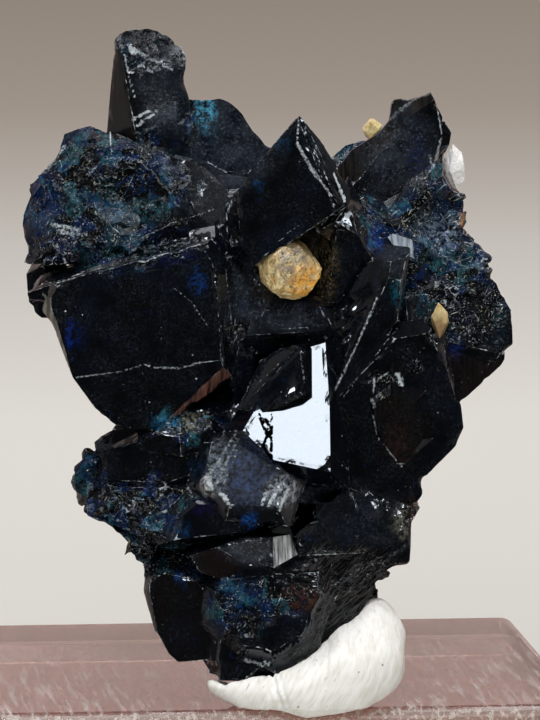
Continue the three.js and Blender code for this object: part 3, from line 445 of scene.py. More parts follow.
# Healed cracks, bruised lines, and painted glints and edge highlights: the points of each in grid squares,
# its half width in mm, and brightness;
# a crack that stands open is dark, with a brightness of -1.
LINES = [
    ([(-13.5, 56.1), (-11.9, 57.1)], 0.13, 1.0), ([(-13.1, 55.5), (-11.2, 56.9)], 0.12, 1.0),
    ([(-15.8, 54.9), (-15.6, 52.3)], 0.07, 1.0), ([(-14.4, 63.0), (-13.6, 59.2), (-13.4, 58.4)], 0.1, 0.9),
    ([(-13.3, 63.3), (-11.6, 62.3), (-9.6, 61.1)], 0.14, 0.7), ([(-13.9, 63.6), (-13.2, 63.0)], 0.24, 1.0),
    ([(-12.6, 43.9), (-9.8, 45.4), (-5.4, 47.0)], 0.06, 0.8),
    ([(-21.1, 39.5), (-14.0, 41.4), (-6.8, 43.4)], 0.05, 0.9),
    ([(-6.9, 43.7), (-5.6, 41.6), (-5.0, 40.0)], 0.04, 0.6),
    ([(-4.2, 40.9), (-3.6, 35.4)], 0.04, 0.8), ([(-6.0, 51.9), (-4.1, 50.9)], 0.07, 1.0),
    ([(1.2, 53.9), (-0.9, 52.0), (-2.2, 50.7)], 0.06, 0.9), ([(-20.5, 48.5), (-17.2, 51.2)], 0.05, 0.7),
    ([(-21.6, 45.4), (-19.0, 45.0)], 0.18, 0.9), ([(-21.0, 44.7), (-18.2, 44.4)], 0.16, 0.8),
    ([(-20.6, 53.4), (-22.2, 51.2)], 0.14, 0.7), ([(-16.4, 50.3), (-15.0, 50.0)], 0.08, 0.7),
    ([(-5.0, 35.0), (-4.4, 31.6), (-3.5, 29.9)], 0.04, 0.6), ([(-3.0, 32.8), (-3.5, 29.9)], 0.04, 0.6),
    ([(3.0, 55.8), (2.9, 53.3)], 0.09, 0.9), ([(2.9, 53.3), (3.5, 52.2), (4.1, 51.1)], 0.13, 0.9),
    ([(4.1, 51.1), (5.0, 49.8)], 0.17, 0.9), ([(5.0, 49.8), (6.3, 48.1)], 0.1, 0.8),
    ([(6.5, 50.3), (7.7, 47.6)], 0.08, 1.0), ([(7.4, 45.7), (8.1, 46.4)], 0.3, 1.0),
    ([(6.9, 45.5), (8.2, 45.1)], 0.16, 0.9),
    ([(7.1, 46.1), (8.6, 45.05)], 0.05, -1), ([(-1.8, 49.5), (-2.7, 42.9)], 0.03, 0.35),
    ([(-0.9, 41.6), (2.0, 44.4), (4.1, 45.7)], 0.05, 0.7), ([(1.1, 34.9), (4.1, 35.1)], 0.04, 0.8),
    ([(5.0, 37.5), (5.6, 36.2)], 0.06, 0.5), ([(6.0, 36.0), (6.5, 35.0)], 0.06, 0.6),
    ([(10.8, 38.0), (8.6, 32.9), (6.6, 28.8)], 0.08, 0.9),
    ([(13.0, 35.1), (11.8, 33.8), (9.4, 30.6), (7.5, 28.2)], 0.04, 0.7),
    ([(14.3, 31.7), (15.6, 33.2)], 0.05, 0.7), ([(10.4, 26.5), (10.9, 24.2), (13.1, 21.5)], 0.06, 0.6),
    ([(13.0, 21.6), (13.3, 21.4)], 0.14, 1.0), ([(10.3, 27.9), (10.6, 27.2)], 0.14, 0.7),
    ([(17.9, 35.7), (19.4, 35.4), (20.2, 34.9)], 0.07, 0.8), ([(19.3, 34.9), (18.9, 33.3)], 0.06, 0.7),
    ([(20.4, 37.0), (21.1, 36.0), (21.6, 35.6)], 0.06, 0.7),
    ([(7.4, 21.8), (9.4, 18.7), (11.7, 17.4)], 0.05, 0.5), ([(-2.1, 28.5), (3.0, 33.2)], 0.03, 0.8),
    ([(3.2, 32.6), (3.6, 29.6)], 0.08, 0.4), ([(2.9, 12.4), (9.6, 12.6)], 0.05, 0.8),
    ([(1.1, 19.3), (0.0, 17.3)], 0.14, 1.0), ([(2.0, 19.0), (1.0, 16.6)], 0.13, 1.0),
    ([(-0.1, 18.8), (-0.7, 17.4)], 0.12, 1.0), ([(2.7, 19.9), (2.4, 17.6)], 0.07, 0.7),
    ([(-6.0, 20.2), (-5.6, 19.2)], 0.3, 1.0), ([(-4.6, 18.5), (-3.6, 17.4)], 0.24, 1.0),
    ([(-3.2, 24.6), (-6.0, 20.0)], 0.1, 0.6), ([(-3.0, 24.0), (-5.2, 19.4)], 0.14, 0.4),
    ([(-3.0, 22.8), (-4.6, 19.0)], 0.06, 0.5), ([(-3.6, 18.0), (1.0, 19.0)], 0.05, 0.5),
    ([(-5.9, 21.4), (-5.6, 20.2)], 0.12, 0.6), ([(-6.9, 15.3), (-6.6, 14.2)], 0.05, 0.5),
    ([(-3.2, 16.9), (-3.3, 15.0)], 0.05, 0.5), ([(-0.1, 15.2), (4.2, 16.4)], 0.04, 0.4),
    # A painted highlight along the right edge of the right point.
    ([(16.9, 57.6), (17.4, 54.7), (16.7, 51.7), (15.6, 50.1)], 0.07, 0.9),
    ([(16.2, 52.6), (16.5, 51.2)], 0.12, 0.8),
    ([(-9.4, 39.0), (-7.6, 37.6), (-6.0, 35.2)], 0.06, 0.5),
    ([(-19.1, 30.1), (-14.6, 30.7), (-12.3, 31.4)], 0.07, 0.6),
    ([(-12.3, 31.4), (-11.3, 31.1), (-8.8, 31.0), (-6.6, 31.6)], 0.08, 0.75),
    ([(-18.2, 50.0), (-16.5, 52.0), (-14.0, 52.2), (-12.5, 51.5), (-8.8, 47.2)], 0.08, 0.45),
    ([(-17.9, 16.4), (-14.0, 14.1), (-12.4, 13.2)], 0.08, 0.6), ([(-14.0, 12.8), (-12.2, 11.4)], 0.08, 0.5),
    ([(-2.2, 2.1), (-0.6, 1.6)], 0.16, 0.7), ([(-0.3, 1.9), (0.1, 1.5)], 0.1, 1.0),
    ([(-0.9, 26.4), (-0.05, 24.3), (-0.5, 23.3), (0.3, 22.1)], 0.12, -1),
    ([(0.35, 26.8), (0.35, 22.0)], 0.1, -1),
    ([(-0.3, 25.9), (0.4, 25.2)], 0.14, -1), ([(-0.1, 24.9), (0.3, 24.4)], 0.16, -1),
    ([(3.7, 27.8), (5.2, 28.4)], 0.03, -1), ([(12.9, 30.5), (13.3, 29.5)], 0.2, 1.0),
    ([(11.2, 55.4), (13.4, 57.2), (15.2, 58.6)], 0.16, 0.3),
    # The short bright line at 12.9, 30.5 above and these two are painted glints round a dark facet.
    ([(10.6, 30.2), (10.5, 28.6)], 0.1, 0.9), ([(10.9, 29.9), (12.0, 30.6)], 0.08, 0.9),
]

stone = copy_of("lazulite_cluster", "lazulite_crystals")
bpy.ops.object.mode_set(mode="EDIT")
bpy.ops.mesh.select_all(action="SELECT")
bpy.ops.mesh.dissolve_limited(angle_limit=math.radians(0.4))
bpy.ops.mesh.quads_convert_to_tris(quad_method="BEAUTY", ngon_method="BEAUTY")
bpy.ops.mesh.select_all(action="DESELECT")
bpy.ops.object.mode_set(mode="OBJECT")


def oval(grid_points, middle_x, middle_z, half_x, half_z, fade=0.3):
    """1 in the middle of an oval of the drawing, falling to 0 at its edge."""
    reach = np.hypot((grid_points[:, 0] - middle_x) / half_x, (grid_points[:, 1] - middle_z) / half_z)
    return np.clip((1 + fade / 2 - reach) / fade, 0, 1)


def broken_weights(grid_points):
    """The weight of each broken place at each point, one row a place, with borders that wander."""
    out = grid_points[:, 2]
    sway = np.array([[noise.noise(Vector(p) / 2.2), noise.noise(Vector(p) / 2.2 + Vector((9, 4, 7)))]
                     for p in grid_points])
    swayed = grid_points.copy()
    swayed[:, :2] += sway * 2.0
    return np.array([oval(swayed, *row[:4]) * ((out > row[4]) & (out < row[5])) for row in BROKEN.values()])


def tree_of(points):
    made = kdtree.KDTree(len(points))
    for i, point in enumerate(points):
        made.insert(point, i)
    made.balance()
    return made


def distance_to(tree, points):
    return np.array([tree.find(p)[2] for p in points])


# Sharp outer edges, as points along them.
mesh = stone.data
corner = places(stone)
faces_at = {}
for polygon in mesh.polygons:
    for pair in polygon.edge_keys:
        faces_at.setdefault(pair, []).append(polygon)
edge_points = []
for (a, b), sides in faces_at.items():
    one, two = sides[0], sides[-1]
    outer = (two.center - one.center).dot(one.normal) < 0
    if outer and one.normal.angle(two.normal, 0) > SHARP_ANGLE:
        steps = max(2, int(np.linalg.norm(corner[a] - corner[b]) / (0.08 * MM)))
        edge_points.extend(corner[a] + (corner[b] - corner[a]) * t for t in np.linspace(0, 1, steps))
edge_tree = tree_of(edge_points)
line_points, line_width, line_light = [], [], []
for points, width, light in LINES:
    for (x0, z0), (x1, z1) in zip(points, points[1:]):
        for t in np.linspace(0, 1, max(2, int(math.hypot(x1 - x0, z1 - z0) * GRID / (0.05 * MM)))):
            line_points.append((x0 + (x1 - x0) * t, z0 + (z1 - z0) * t, 0))
            line_width.append(width)
            line_light.append(light)
line_tree = tree_of(line_points)
line_width, line_light = np.array(line_width), np.array(line_light)
toward = (from_drawing.to_3x3() @ Vector((0, -1, 0))).normalized()
face_hits = {name: stone.ray_cast(drawn(row[0], row[1], 60), -toward) for name, row in FACES.items()}


def flat_drawing(grid_points):
    """Grid points pressed flat on the drawing; those well behind its face are put out of reach."""
    flat = grid_points.copy()
    flat[:, 2] = np.where(grid_points[:, 2] > DRAWN_BACK, 0, 99)
    return flat


# The mesh is cut finer near the sharp edges, along the lines and in the broken places, a step at a time.
for _ in range(MOST_CUTS):
    mesh = stone.data
    corner = places(stone)
    ends = np.empty(len(mesh.edges) * 2, int)
    mesh.edges.foreach_get("vertices", ends)
    ends = ends.reshape(-1, 2)
    first, second = corner[ends[:, 0]], corner[ends[:, 1]]
    length = np.linalg.norm(first - second, axis=1)
    long = np.flatnonzero(length > 1.3 * FINE)
    length, middle = length[long], (first + second)[long] / 2
    grid_middle = drawing_of(middle)
    rear = 1 - np.clip((grid_middle[:, 2] + 6) / 5, 0, 1)
    near = np.clip(distance_to(edge_tree, middle) - 0.3 * length, 0, None)
    limit = FINE * (1 + 7 * np.clip(near - EDGE_STRIP, 0, None) / EDGE_STRIP) * (1 + 2.6 * rear)
    limit = np.minimum(limit, FACE_STEP * (1 + rear))
    limit = np.where(broken_weights(grid_middle).max(axis=0) > 0.02, np.minimum(limit, BROKEN_FINE), limit)
    tinted = np.max([oval(grid_middle, *row[:4]) for row in TINTS.values()], axis=0) * (rear < 1)
    limit = np.where(tinted > 0.02, np.minimum(limit, 2 * FINE), limit)
    by_line = np.clip(distance_to(line_tree, flat_drawing(grid_middle)) * GRID - 0.4 * length, 0, None)
    limit = np.where(by_line < 0.12 * MM, np.minimum(limit, FINE), limit)
    chosen = np.zeros(len(mesh.edges), bool)
    chosen[long] = length > 1.5 * limit
    if chosen.sum() < 800:
        break
    bpy.ops.object.mode_set(mode="EDIT")
    bpy.ops.mesh.select_mode(type="EDGE")
    bpy.ops.mesh.select_all(action="DESELECT")
    bpy.ops.object.mode_set(mode="OBJECT")
    mesh.edges.foreach_set("select", chosen)
    bpy.ops.object.mode_set(mode="EDIT")
    bpy.ops.mesh.subdivide(number_cuts=1)
    bpy.ops.mesh.select_all(action="SELECT")
    bpy.ops.mesh.quads_convert_to_tris(quad_method="SHORTEST_DIAGONAL", ngon_method="BEAUTY")
    bpy.ops.object.mode_set(mode="OBJECT")


# The single faces, found before anything is moved.
count = len(stone.data.polygons)
face_middle, face_normal = np.empty(count * 3), np.empty(count * 3)
stone.data.polygons.foreach_get("center", face_middle)
stone.data.polygons.foreach_get("normal", face_normal)
face_middle, face_normal = face_middle.reshape(-1, 3), face_normal.reshape(-1, 3)
face_tone_and_reflection, face_rough = np.zeros((count, 4)), np.zeros(count)
spared = np.zeros(count, bool)
for name, row in FACES.items():
    struck, spot, facing = face_hits[name][:3]
    colour, cover, rough = row[2:]
    if struck:
        away = face_middle - np.array(spot)
        same = (face_normal @ np.array(facing) > 0.9995) & (np.abs(away @ np.array(facing)) < 0.04 * MM)
        face_tone_and_reflection[same] = linear(colour)[:3] + [cover]
        face_rough[same] = rough
        spared |= same
keep(stone, "face_tone_and_reflection", face_tone_and_reflection, "FACE")
keep(stone, "face_rough", face_rough, "FACE")
face_corners = np.empty(count * 3, int)
stone.data.loops.foreach_get("vertex_index", face_corners)
spared_corner = np.zeros(len(stone.data.vertices), bool)
spared_corner[face_corners.reshape(-1, 3)[spared].ravel()] = True

# Crumbs at the left and right worn to rounded lumps; then chips off the sharp edges, and flakes broken out
# of the broken places.
from_edge = distance_to(edge_tree, places(stone))
grid_spots = drawing_of(places(stone))
lumpy = stone.vertex_groups.new(name="lumpy")
in_lumps = np.max([oval(grid_spots, *row) for row in LUMPS], axis=0)
in_lumps[spared_corner] = 0
for i in np.flatnonzero(in_lumps > 0.05):
    lumpy.add([int(i)], float(in_lumps[i]), "REPLACE")
applied(stone, "SMOOTH", factor=0.5, iterations=14, vertex_group="lumpy")
stone.vertex_groups.clear()
grid_spots = drawing_of(places(stone))
for x, z, reach, right, up in PUSHES:
    hold = np.clip(1.3 * (1 - np.hypot(grid_spots[:, 0] - x, grid_spots[:, 1] - z) / reach), 0, 1)
    grid_spots[:, 0] += right * hold
    grid_spots[:, 1] += up * hold
move_to(stone, places_of(grid_spots))
spots = places(stone)
outward = normals(stone)
grid_spots = drawing_of(spots)
clean = np.max([oval(grid_spots, *row) for row in CLEAN], axis=0) * (grid_spots[:, 2] > -4)
wave = np.array([noise.noise(Vector(p) / (0.9 * MM)) for p in spots])
ripple = np.array([noise.noise(Vector(p) / (0.25 * MM) + Vector((7, 3, 5))) for p in spots])
near = np.clip(1 - from_edge / CHIP_WIDTH, 0, 1)
sink = near * (0.025 * MM + CHIP_DEPTH * np.clip((wave - 0.12) / 0.5, 0, 1))
sink += 0.035 * MM * near * ripple.clip(0)
sink *= 1 - 0.9 * clean
weights = broken_weights(grid_spots) * np.where(spared_corner, 0, 1)


def flakes(points, size, seed):
    """Height of a face broken into tilted flakes, from -1 to 1 at each point."""
    dice = np.random.default_rng(seed)
    low, high = points.min(axis=0) - size, points.max(axis=0) + size
    count = np.ceil((high - low) / size).astype(int)
    cells = np.stack(np.meshgrid(*[np.arange(n) for n in count], indexing="ij"), axis=-1).reshape(-1, 3)
    centres = low + (cells + dice.uniform(0.1, 0.9, cells.shape)) * size
    level, tilt = dice.uniform(-0.6, 0.6, len(cells)), dice.normal(0, 0.55, cells.shape)
    tree = tree_of(centres)
    nearest = np.array([tree.find(p)[1] for p in points])
    return np.clip(level[nearest] + ((points - centres[nearest]) * tilt[nearest]).sum(axis=1) / size, -1, 1)


for i, row in enumerate(BROKEN.values()):
    here = np.flatnonzero(weights[i] > 0)
    if len(here):
        depth, size = row[6] * MM, row[7] * MM
        height = 0.7 * flakes(spots[here], size, 20 + i) + 0.4 * flakes(spots[here], size * 0.45, 60 + i)
        sink[here] = np.maximum(sink[here], weights[i][here] * depth * (0.5 + 0.5 * height))
move_to(stone, spots - outward * sink[:, None])

in_front = (grid_spots[:, 2] > DRAWN_BACK) & (outward @ np.array(toward) > -0.15)
found = [line_tree.find(p) for p in flat_drawing(grid_spots)]
which = np.array([f[1] for f in found])
from_line = np.array([f[2] for f in found]) * GRID / (line_width[which] * MM)
rows = np.array(list(BROKEN.values()))
keep(stone, "from_edge", from_edge / MM)
bruise = np.clip(0.7 + 1.5 * np.array([noise.noise(Vector(p) / (3.5 * MM)) for p in spots]), 0.05, 1.2)
keep(stone, "bruise", bruise * (1 - 0.85 * clean))
keep(stone, "from_line", np.where(in_front, np.clip(from_line, 0, 9), 9))
keep(stone, "line_light", line_light[which])
keep(stone, "broken", weights.max(axis=0))
keep(stone, "teal", (weights * rows[:, 8:9]).max(axis=0))
keep(stone, "white", (weights * rows[:, 9:10]).max(axis=0))
keep(stone, "ribbed", weights[list(BROKEN).index("slab")])
dulled = np.max([oval(grid_spots, *row[:4], fade=0.6) * row[4] for row in DULL.values()], axis=0)
keep(stone, "dull", dulled * in_front * (1 - clean))
tint = np.zeros((len(spots), 4))
for x, z, half_x, half_z, colour, strength in TINTS.values():
    cover = oval(grid_spots, x, z, half_x, half_z, fade=0.9) * strength * in_front
    stronger = cover > tint[:, 3]
    tint[stronger, :3] = linear(colour)[:3]
    tint[stronger, 3] = cover[stronger]
keep(stone, "tint", tint)

lazulite, tree = new_material("lazulite")
place = add(tree, "ShaderNodeTexCoord")


def speckle(size, low, high, detail=3.0, rough=0.6, to=1.0):
    """A noise with features this many mm across, as a mask that rises from 0 at low to 1 at high."""
    made = add(tree, "ShaderNodeTexNoise", Vector=(place, "Object"), Scale=per_mm(size),
               Detail=detail, Roughness=rough)
    return add(tree, "ShaderNodeMapRange", Value=(made, 0), From_Min=low, From_Max=high, To_Max=to)


def scratches(size, angle, low, high, length=9):
    """Scratches this many mm wide, running at an angle on the drawing, as a mask."""
    way = add(tree, "ShaderNodeMapping", {"vector_type": "TEXTURE"}, Vector=(place, "Object"),
              Rotation=(0, -math.radians(angle), 0), Scale=(length, length, 1))
    made = add(tree, "ShaderNodeTexNoise", Vector=(way, 0), Scale=per_mm(size), Detail=2, Roughness=0.6)
    return add(tree, "ShaderNodeMapRange", Value=(made, 0), From_Min=low, From_Max=high)


body = blend((speckle(4.5, 0.48, 0.75), 0), "020305", "050a16")
# Painted glints: small deep blue glints from inside the crystal.
body = blend((speckle(0.9, 0.62, 0.8, 5.0, 0.7, 0.6), 0), (body, 2), "0a2450")
dust = maths("MULTIPLY", (speckle(0.13, 0.48, 0.78, 4.0, 0.8), 0), (speckle(1.6, 0.35, 0.7), 0))
body = blend((maths("MULTIPLY", (dust, 0), 0.2), 0), (body, 2), "6f7c8c")
tone, tone_rough = stored("face_tone_and_reflection"), stored("face_rough")
grown = add(tree, "ShaderNodeMapping", Vector=(place, "Object"), Scale=(1, 0.1, 0.07))
growth = add(tree, "ShaderNodeTexNoise", Vector=(grown, 0), Scale=per_mm(0.2), Detail=4, Roughness=0.65)
growth_mask = add(tree, "ShaderNodeMapRange", Value=(growth, 0), From_Min=0.4, From_Max=0.62, To_Min=0.12)
# Painted reflections: the grey, pale and brown single faces take their tone here, in growth streaks.
face_tone_and_reflection_patch = maths("MULTIPLY", (tone, "Alpha"), (growth_mask, 0))
body = blend((face_tone_and_reflection_patch, 0), (body, 2), (tone, "Color"))
dull = stored("dull")
scuffs = maths("MAXIMUM", (speckle(0.2, 0.54, 0.66, 5.0, 0.8), 0), (scratches(0.07, 55, 0.66, 0.74, 14), 0))
scuffs = maths("MULTIPLY_ADD", (scuffs, 0), 0.8, False, (speckle(1.3, 0.35, 0.7, 3.0, 0.6, 0.28), 0))
bloom = maths("MULTIPLY", (dull, "Fac"), (scuffs, 0))
body = blend((maths("MULTIPLY", (bloom, 0), 0.75), 0), (body, 2), "8290a4")
tinted = stored("tint")
tint_patch = maths("MULTIPLY", (tinted, "Alpha"), (speckle(0.32, 0.44, 0.68, 5.0, 0.75), 0))
body = blend((tint_patch, 0), (body, 2), (tinted, "Color"))
broken, teal, white = stored("broken"), stored("teal"), stored("white")
crumb = add(tree, "ShaderNodeTexVoronoi", Vector=(place, "Object"), Scale=per_mm(0.45))
crumb_tone = add(tree, "ShaderNodeSeparateColor", Color=(crumb, "Color"))
rough_dark = blend((crumb_tone, 0), "020305", "0a0c10")
shards = add(tree, "ShaderNodeTexVoronoi", Vector=(place, "Object"), Scale=per_mm(1.0))
shard_tone = add(tree, "ShaderNodeSeparateColor", Color=(shards, "Color"))
blue_shard = add(tree, "ShaderNodeMapRange", Value=(shard_tone, 0), From_Min=0.48, From_Max=0.8)
teal_shard = add(tree, "ShaderNodeMapRange", Value=(shard_tone, 1), From_Min=0.66, From_Max=0.86)
blue_here = maths("MULTIPLY", (blue_shard, 0), (speckle(0.6, 0.36, 0.62, 6.0, 0.75), 0))
blue_here = maths("MULTIPLY", (maths("MULTIPLY", (teal, "Fac"), 1.4, True), 0), (blue_here, 0))
rough_dark = blend((blue_here, 0), (rough_dark, 2), "0a2650")
teal_here = maths("MULTIPLY", (teal_shard, 0), (speckle(0.45, 0.42, 0.62, 6.0, 0.8), 0))
teal_here = maths("MULTIPLY", (teal, "Fac"), (teal_here, 0))
rough_dark = blend((teal_here, 0), (rough_dark, 2), "2c6474")
rough_dark = blend((maths("MULTIPLY", (tint_patch, 0), 0.9), 0), (rough_dark, 2), (tinted, "Color"))
streaks = maths("MAXIMUM", (scratches(0.07, 62, 0.69, 0.75, 16), 0), (scratches(0.07, 18, 0.7, 0.76, 16), 0))
seams = add(tree, "ShaderNodeTexVoronoi", {"feature": "DISTANCE_TO_EDGE"}, Vector=(place, "Object"),
            Scale=per_mm(0.7))
seam_room = maths("SUBTRACT", (speckle(0.8, 0.58, 0.75, 4.0, 0.7, 0.08), 0), (seams, 0))
seam_mask = maths("MULTIPLY", (seam_room, 0), 24.0, True)
# Pale flecks in the broken places: partly pale seams and scratches, partly painted glints.
flecks_and_glints = maths("MAXIMUM", (seam_mask, 0), (speckle(0.13, 0.6, 0.68, 4.0, 0.75), 0))
flecks_and_glints = maths("MAXIMUM", (flecks_and_glints, 0), (streaks, 0))
flecks_and_glints = maths("MULTIPLY", (flecks_and_glints, 0), (speckle(1.4, 0.38, 0.56, 4.0, 0.7), 0))
pale_here = maths("MULTIPLY", (white, "Fac"), (flecks_and_glints, 0))
fleck_and_glint_tone = blend((speckle(0.9, 0.45, 0.6), 0), "d6e4e8", "e2dcc4")
rough_dark = blend((maths("MULTIPLY", (pale_here, 0), 1.3, True), 0), (rough_dark, 2), (fleck_and_glint_tone, 2))
ribbed = stored("ribbed")
rib_mask = scratches(0.09, 42, 0.46, 0.66, 11)
rib_cover = maths("MULTIPLY", (ribbed, "Fac"), (rib_mask, 0))
rough_dark = blend((maths("MULTIPLY", (rib_cover, 0), 0.42), 0), (rough_dark, 2), "5a5552")
body = blend((broken, "Fac"), (body, 2), (rough_dark, 2))

from_edge, bruise = stored("from_edge"), stored("bruise")
edge_room = maths("MULTIPLY_ADD", (speckle(0.35, 0.46, 0.75, 3.0, 0.6), 0), 0.07, False, 0.022)
edge_gap = maths("SUBTRACT", (maths("MULTIPLY", (edge_room, 0), (bruise, "Fac")), 0), (from_edge, "Fac"))
edge_cover = maths("MULTIPLY", (edge_gap, 0), 24.0, True)
edge_mask = maths("MULTIPLY", (edge_cover, 0), (speckle(1.5, 0.36, 0.58, 6.0, 0.75), 0))
from_line, line_light_at = stored("from_line"), stored("line_light")
line_edge = maths("MULTIPLY_ADD", (speckle(0.18, 0.3, 0.65, 3.0, 0.6), 0), 0.9, False, 0.35)
line_room = maths("SUBTRACT", (line_edge, 0), (from_line, "Fac"))
line_cover = maths("MULTIPLY", (line_room, 0), 2.2, True)
line_crush = maths("MULTIPLY_ADD", (speckle(0.14, 0.42, 0.58, 4.0, 0.75), 0), 0.88, False, 0.12)
whole = maths("MULTIPLY_ADD", (line_light_at, "Fac"), 20.0, True, -19.2)
line_crush = maths("MAXIMUM", (line_crush, 0), (whole, 0))
line_and_glint_mask = maths("MULTIPLY", (line_cover, 0), (line_crush, 0))
line_and_glint_mask = maths("MULTIPLY", (line_and_glint_mask, 0), (line_light_at, "Fac"), True)
open_room = maths("SUBTRACT", (speckle(0.3, 0.2, 0.5, 2.0, 0.5, 1.1), 0), (from_line, "Fac"))
open_crack = maths("MULTIPLY", (maths("MULTIPLY", (open_room, 0), 4.0, True), 0),
                   (maths("LESS_THAN", (line_light_at, "Fac"), -0.5), 0))
dots = add(tree, "ShaderNodeTexVoronoi", Vector=(place, "Object"), Scale=per_mm(0.8))
dot_tone = add(tree, "ShaderNodeSeparateColor", Color=(dots, "Color"))
dot_room = maths("SUBTRACT", (maths("MULTIPLY", (dot_tone, 1), 0.085), 0), (dots, "Distance"))
motes = add(tree, "ShaderNodeTexVoronoi", Vector=(place, "Object"), Scale=per_mm(0.36))
mote_tone = add(tree, "ShaderNodeSeparateColor", Color=(motes, "Color"))
mote_room = maths("SUBTRACT", (maths("MULTIPLY", (mote_tone, 1), 0.12), 0), (motes, "Distance"))
mote_mask = maths("MULTIPLY", (maths("MULTIPLY", (mote_room, 0), 30.0, True), 0), (mote_tone, 2))
dot_mask = maths("MULTIPLY", (dot_room, 0), 40.0, True)
dot_mask = maths("MAXIMUM", (dot_mask, 0), (maths("MULTIPLY", (mote_mask, 0), 0.6), 0))
dot_mask = maths("MULTIPLY", (dot_mask, 0), (speckle(3.2, 0.42, 0.64), 0))
marks = maths("MAXIMUM", (edge_mask, 0), (maths("MAXIMUM", (line_and_glint_mask, 0), (dot_mask, 0)), 0))
# Bruised edges, pale lines that are partly painted glints and highlights, and dust specks, all in one pale
# colour.
body = blend((maths("MULTIPLY", (marks, 0), 0.85), 0), (body, 2), "c8d2d8")
body = blend((open_crack, 0), (body, 2), "010101")

roughness = maths("MULTIPLY_ADD", (broken, "Fac"), 0.05, False, 0.06)
roughness = maths("MAXIMUM", (roughness, 0), (maths("MULTIPLY", (dull, "Fac"), 0.34), 0))
roughness = maths("MAXIMUM", (roughness, 0), (tone_rough, "Fac"))
roughness = maths("MAXIMUM", (roughness, 0), (maths("MULTIPLY", (marks, 0), 0.4), 0))
shine = maths("MULTIPLY_ADD", (broken, "Fac"), -0.2, False, 0.45)
facing = add(tree, "ShaderNodeSeparateXYZ", Vector=(place, "Normal"))
upward = add(tree, "ShaderNodeMapRange", Value=(facing, 2), From_Min=0.35, From_Max=0.8, To_Max=0.75)
shaded = maths("SUBTRACT", 1.0, (maths("MULTIPLY", (upward, 0), (broken, "Fac")), 0))
shine = maths("MULTIPLY", (shine, 0), (shaded, 0))
rough_face = maths("GREATER_THAN", (tone_rough, "Fac"), 0.5)
matte = maths("MAXIMUM", (open_crack, 0), (maths("MULTIPLY", (rough_face, 0), 0.95), 0))
shine = maths("MULTIPLY", (shine, 0), (maths("SUBTRACT", 1.0, (matte, 0)), 0))
grain = add(tree, "ShaderNodeTexNoise", Vector=(place, "Object"), Scale=per_mm(0.2), Detail=4, Roughness=0.65)
rough_relief = maths("MULTIPLY_ADD", (broken, "Fac"), 0.75, False, 0.03)
rough_relief = maths("MULTIPLY_ADD", (dull, "Fac"), 0.7, True, (rough_relief, 0))
relief = add(tree, "ShaderNodeBump", Height=(grain, 0), Strength=(rough_relief, 0), Distance=0.05 * MM)
swell = add(tree, "ShaderNodeTexNoise", Vector=(place, "Object"), Scale=per_mm(2.6), Detail=2, Roughness=0.5)
relief = add(tree, "ShaderNodeBump", Height=(swell, 0), Strength=0.25, Distance=0.05 * MM, Normal=(relief, 0))
surface = add(tree, "ShaderNodeBsdfPrincipled", Base_Color=(body, 2), Roughness=(roughness, 0), IOR=1.62,
              Specular_IOR_Level=(shine, 0), Specular_Tint=linear("e8f1fb"), Normal=(relief, 0))
add(tree, "ShaderNodeOutputMaterial", Surface=(surface, 0))
stone.data.materials.append(lazulite)
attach(stone, "root")
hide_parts("lazulite_cluster")


# Siderite crystal and grains
# A tan siderite crystal grown in the hollow, rusted to orange at its lower right, and two small golden
# grains on the cluster. They are joined to it by growth.
SIDERITE_VOXEL = 0.07 * MM


def roughened(node, name, voxel, chips, depth, seed, scale=1.0, shift=(0, 0, 0)):
    """A piece from a CAD node, its faces broken into small flakes; scaled and shifted a little if asked."""
    piece = copy_of(node, name)
    points = places(piece)
    middle = points.mean(axis=0)
    push = np.array(drawn(*shift) - drawn(0, 0, 0))
    move_to(piece, middle + (points - middle) * scale + push)
    applied(piece, "REMESH", mode="VOXEL", voxel_size=voxel)
    points = places(piece)
    height = 0.6 * flakes(points, chips * MM, seed) + 0.4 * flakes(points, chips * 0.4 * MM, seed + 1)
    move_to(piece, points - normals(piece) * (depth * MM * (0.6 + 0.5 * height))[:, None])
    applied(piece, "SMOOTH", factor=0.35, iterations=2)
    return piece


def around(spot, far, near, to=1.0):
    """A mask round a spot, which rises from 0 at the far distance from it, in mm, to full at the near one."""
    reach = add(tree, "ShaderNodeVectorMath", {"operation": "DISTANCE"}, i0=(place, "Object"), i1=spot)
    return add(tree, "ShaderNodeMapRange", Value=(reach, "Value"), From_Min=far * MM, From_Max=near * MM,
               To_Max=to)


siderite, tree = new_material("siderite")
place = add(tree, "ShaderNodeTexCoord")
rust = around(drawn(4.3, 39.0, 8.6), 1.9, 0.7)
grey = around(drawn(2.9, 41.4, 9.6), 2.0, 0.8)
tan = blend((speckle(0.55, 0.4, 0.6, 5.0, 0.75), 0), "c69f58", "fdeab4")
tan = blend((maths("MULTIPLY", (grey, 0), (speckle(0.5, 0.4, 0.56, 5.0, 0.75), 0)), 0), (tan, 2), "8d8578")
rust_patch = maths("MULTIPLY", (rust, 0), (speckle(0.4, 0.36, 0.52, 4.0, 0.7), 0))
tan = blend((rust_patch, 0), (tan, 2), "ffb83c")
deep_rust = maths("MULTIPLY", (rust_patch, 0), (speckle(0.3, 0.55, 0.62, 4.0, 0.7), 0))
tan = blend((deep_rust, 0), (tan, 2), "9a4a0c")
tan = blend((speckle(0.34, 0.54, 0.61, 6.0, 0.8, 0.9), 0), (tan, 2), "35240f")
tan = blend((speckle(0.2, 0.53, 0.61, 6.0, 0.85, 0.65), 0), (tan, 2), "6b4f2a")
